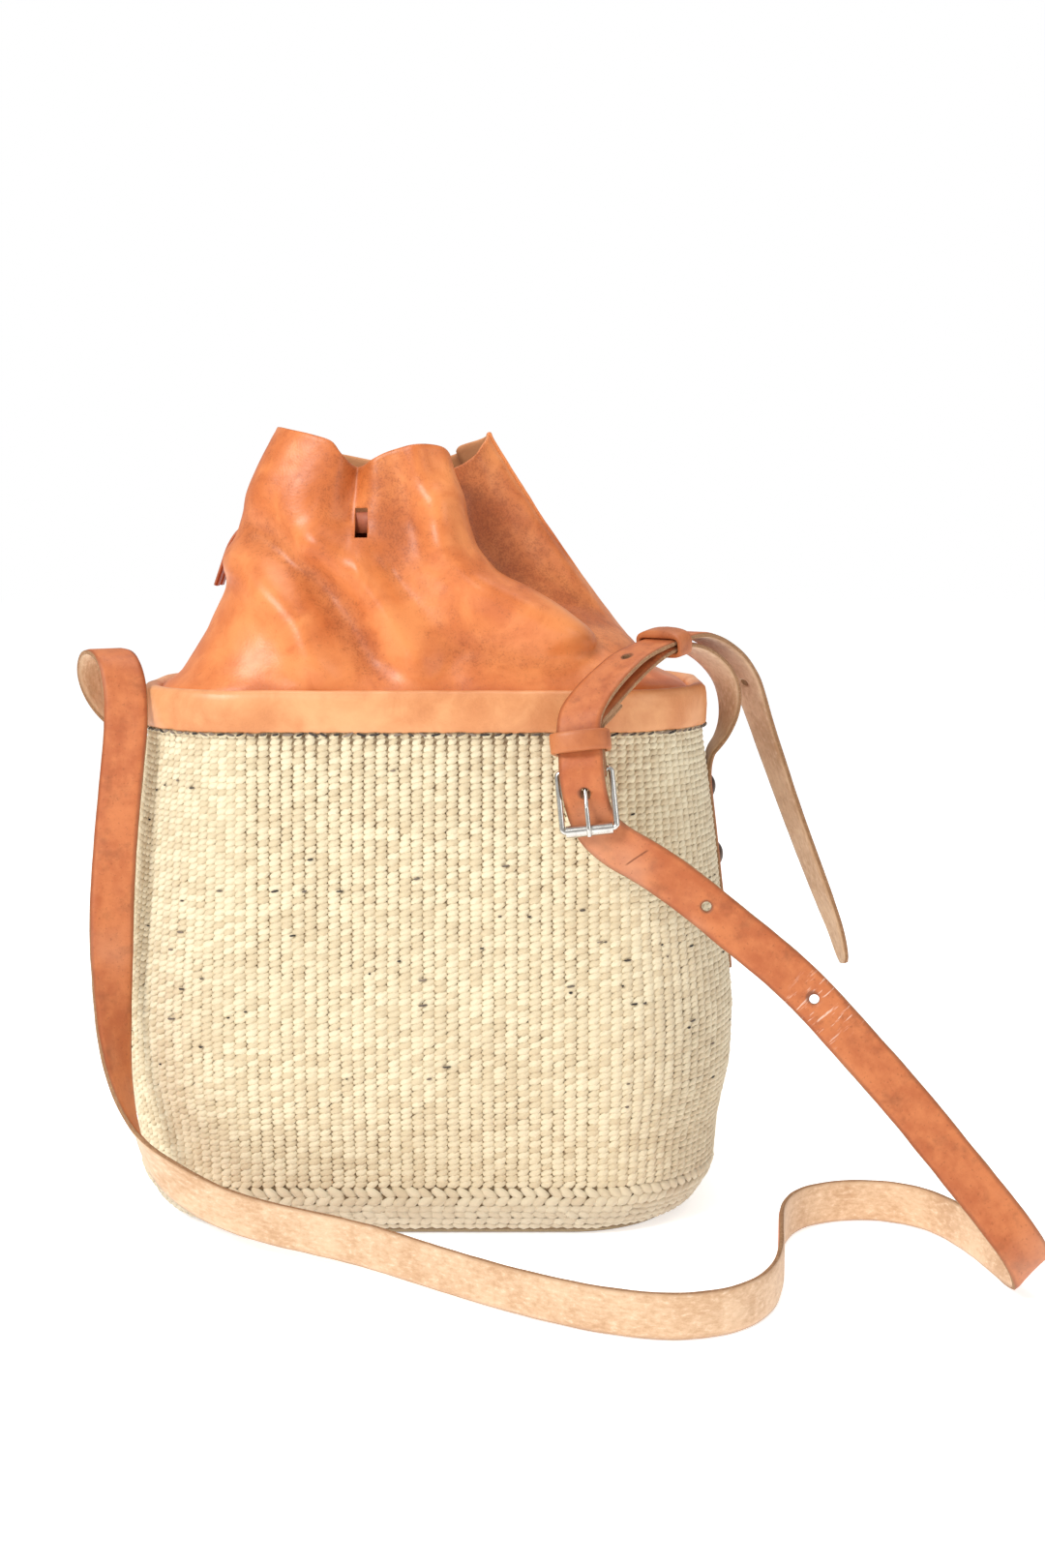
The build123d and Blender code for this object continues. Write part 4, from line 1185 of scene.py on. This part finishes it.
def makeThong():
    # the thong runs inside the sleeve, then two ends hang out on the left
    levels, around, _ = collarMiddle.shape

    def ringAt(height):
        columns = []
        for k in range(2):
            column = [float(np.interp(height, collarMiddle[:, c, 2], collarMiddle[:, c, k]))
                      for c in range(around)]
            columns.append(soften(column, 6))
        return np.stack(columns, axis=1)

    ring = ringAt(thong["height"])
    above = ringAt(thong["height"] + thong["covered"])
    tangent = np.roll(ring, -1, axis=0) - np.roll(ring, 1, axis=0)
    tangent /= np.linalg.norm(tangent, axis=1, keepdims=True)
    inwards = np.stack((-tangent[:, 1], tangent[:, 0]), axis=1)
    # the sleeve narrows above the thong, and slides down over it when it slouches
    leaning = np.clip(((above - ring) * inwards).sum(axis=1), 0, 4)
    deep = thong["gap"] + soften(leaning, 5)
    atSlot = np.exp(-((ring[:, 0] + 28) / 9) ** 2) * (ring[:, 1] < 0)
    line = ring + inwards * (deep + (thong["gapAtSlot"] - deep) * soften(atSlot, 3))[:, None]
    line[:, 0] = np.minimum(line[:, 0], ring[:, 0].max() - 6)  # short of the sharp fold on the right
    half = thong["width"] * 500
    skin = thong["thickness"] * 500
    points = []
    for offset, level in ((-skin, -half + 0.4), (-skin, half - 0.4), (0, half), (skin, half - 0.4),
                          (skin, -half + 0.4), (0, -half)):
        spots = line + inwards * offset
        points += [(x / 1000, y / 1000, (thong["height"] + level) / 1000) for x, y in spots]
    rows = 6
    faces = [(r * around + c, r * around + (c + 1) % around, ((r + 1) % rows) * around + (c + 1) % around,
              ((r + 1) % rows) * around + c) for r in range(rows) for c in range(around)]
    loop = build("thongLoop", points, faces, [thongLeather])
    pieces = [loop]
    for y in thong["tails"]:
        route = [((thong["exit"] + 1 + dx, y, thong["height"] + dz), (0, 1, 0)) for dx, dz in thong["drop"]]
        tail, _, _ = ribbon("thongTail", route, thong["width"], thong["thickness"], [thongLeather] * 3, 8)
        pieces.append(tail)
    with bpy.context.temp_override(active_object=loop, selected_editable_objects=pieces):
        bpy.ops.object.join()
    loop.name = "drawstring_thong"
    return loop


drawstring = makeThong()
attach(drawstring, "drawstring")
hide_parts("drawstring")

# keepers


def keeperLoop(name, body, node, origin, across, out, low, high, swell):
    # soft leather loop round the strap layers; sizes in millimetres in its own plane
    leatherThick, halfInner, halfWide = 2.2, 10.7, 4.5
    along = across.cross(out)
    outline = []
    for k in range(72):
        angle = 2 * math.pi * k / 72
        c, s = math.cos(angle), math.sin(angle)
        power = 0.34
        x = halfInner * math.copysign(abs(c) ** power, c)
        y = (high - low) / 2 * math.copysign(abs(s) ** power, s) + (high + low) / 2
        outline.append((x, y))
    outline = np.array(outline)
    tangent = np.roll(outline, -1, axis=0) - np.roll(outline, 1, axis=0)
    tangent /= np.linalg.norm(tangent, axis=1, keepdims=True)
    normal = np.stack((tangent[:, 1], -tangent[:, 0]), axis=1)
    section = [(-halfWide + 0.3, 0), (-halfWide * 0.5, 0), (0, 0), (halfWide * 0.5, 0), (halfWide - 0.3, 0),
               (halfWide, 0.5),
               (halfWide, leatherThick - 0.6), (halfWide - 0.6, leatherThick - 0.1),
               (halfWide * 0.5, leatherThick),
               (0, leatherThick), (-halfWide * 0.5, leatherThick), (-halfWide + 0.6, leatherThick - 0.1),
               (-halfWide, leatherThick - 0.6), (-halfWide, 0.5)]
    points = []
    for k, (x, y) in enumerate(outline):
        rise = swell * max(0.0, 1 - (x / (halfInner + 1)) ** 2) if y > (high + low) / 2 else 0.0
        for place, depth in section:
            grow = depth + (rise if depth > 1 else 0)
            px, py = (x, y) + normal[k] * grow
            points.append(origin + (across * px + out * py + along * place) * 0.001)
    count = len(section)
    faces = [(k * count + j, k * count + (j + 1) % count, ((k + 1) % 72) * count + (j + 1) % count,
              ((k + 1) % 72) * count + j)
             for k in range(72) for j in range(count)]
    piece = build(name, points, faces, [keeperLeather])
    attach(piece, body)
    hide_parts(node)
    return piece


lowerKeeper = keeperLoop("lower_loop", "lower_keeper", "lower_keeper", atBuckle(0, 38.5, 0),
                         buckle["x"] * -1, buckle["n"], -4.4, 7.3, 2.6)
crestOrigin = Vector((111.5, -56, 275)) * 0.001
crestAcross = Vector((-0.7466, 0.665, 0)).normalized()
crestAlong = Vector((0.654, 0.734, 0.19)).normalized()
crestOut = crestAlong.cross(crestAcross).normalized()
upperKeeper = keeperLoop("upper_loop", "upper_keeper", "upper_keeper", crestOrigin, crestAcross, crestOut,
                         -3.4, 3.5, 1.6)
print("drawstring and keepers made")

# metal and the patches inside keep their shape and get their finish


def dress(name, finish):
    mesh = nodes[name].data
    mesh.materials.clear()
    mesh.materials.append(finish)
    for polygon in mesh.polygons:
        polygon.material_index = 0


for name in ("buckle_frame", "buckle_roller", "buckle_prong"):
    dress(name, nickel)
for side in ("left", "right"):
    dress(f"backing_patch_{side}", patchSuede)
    for number in (1, 2, 3):
        dress(f"rivet_{side}_{number}", rivetMetal)
        dress(f"burr_{side}_{number}", rivetMetal)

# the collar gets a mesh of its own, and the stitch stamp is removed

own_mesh(collarPiece)
remove(stitchStamp)

# floor, light and camera

studio = {"floor": 8.0, "world": 0.50, "seen": 1.0, "glow": 0.55, "eye": (0.0465, -0.900, 0.325),
          "tilt": 7.75, "lens": 42.22,
          # lamp, its place, what it points at, its size and its watts
          "lights": (("key", (-1.1, -1.3, 1.5), (0, 0, 0.2), 0.7, 30.0),
                     ("fill", (1.4, -1.0, 0.8), (0, 0, 0.15), 1.0, 5.0),
                     ("top", (0.1, 0.2, 1.8), (0, 0, 0.2), 0.8, 8.0))}
floorLook = Finish("floor", Roughness=0.9, Emission_Color=(1, 1, 1, 1), Emission_Strength=studio["glow"])
floorTone = floorLook.shade(floorLook.grain(floorLook.place(), 3, 2), (0.93, 0.93, 0.93), (0.95, 0.95, 0.95))
floorFinish = floorLook.done(floorTone)
half = studio["floor"]
floor = build("floor", [(-half, -half, 0), (half, -half, 0), (half, half, 0), (-half, half, 0)],
              [(0, 1, 2, 3)], [floorFinish])

world = bpy.data.worlds.new("studio")
bpy.context.scene.world = world
world.use_nodes = True
background = world.node_tree.nodes["Background"]
background.inputs[0].default_value = (1, 1, 1, 1)
# the backdrop shows white and lights the bag more softly
air = Board(world.node_tree)
seen = air.add("ShaderNodeLightPath", out="Is Camera Ray")
strength = seen * (studio["seen"] - studio["world"]) + studio["world"]
world.node_tree.links.new(strength.socket, background.inputs[1])
bpy.context.scene.view_settings.view_transform = "Standard"


def softLight(name, place, target, size, watts):
    light = bpy.data.lights.new(name, "AREA")
    light.shape = "DISK"
    light.size = size
    light.energy = watts
    lamp = bpy.data.objects.new(name, light)
    lamp.location = place
    lamp.rotation_euler = (Vector(target) - Vector(place)).to_track_quat("-Z", "Y").to_euler()
    bpy.context.scene.collection.objects.link(lamp)


for light in studio["lights"]:
    softLight(*light)

camera = bpy.data.cameras.new("camera")
camera.sensor_width = 36
camera.lens = studio["lens"]
eye = bpy.data.objects.new("camera", camera)
eye.location = studio["eye"]
eye.rotation_euler = (math.radians(90 - studio["tilt"]), 0, 0)
bpy.context.scene.collection.objects.link(eye)
bpy.context.scene.camera = eye
print("studio ready")
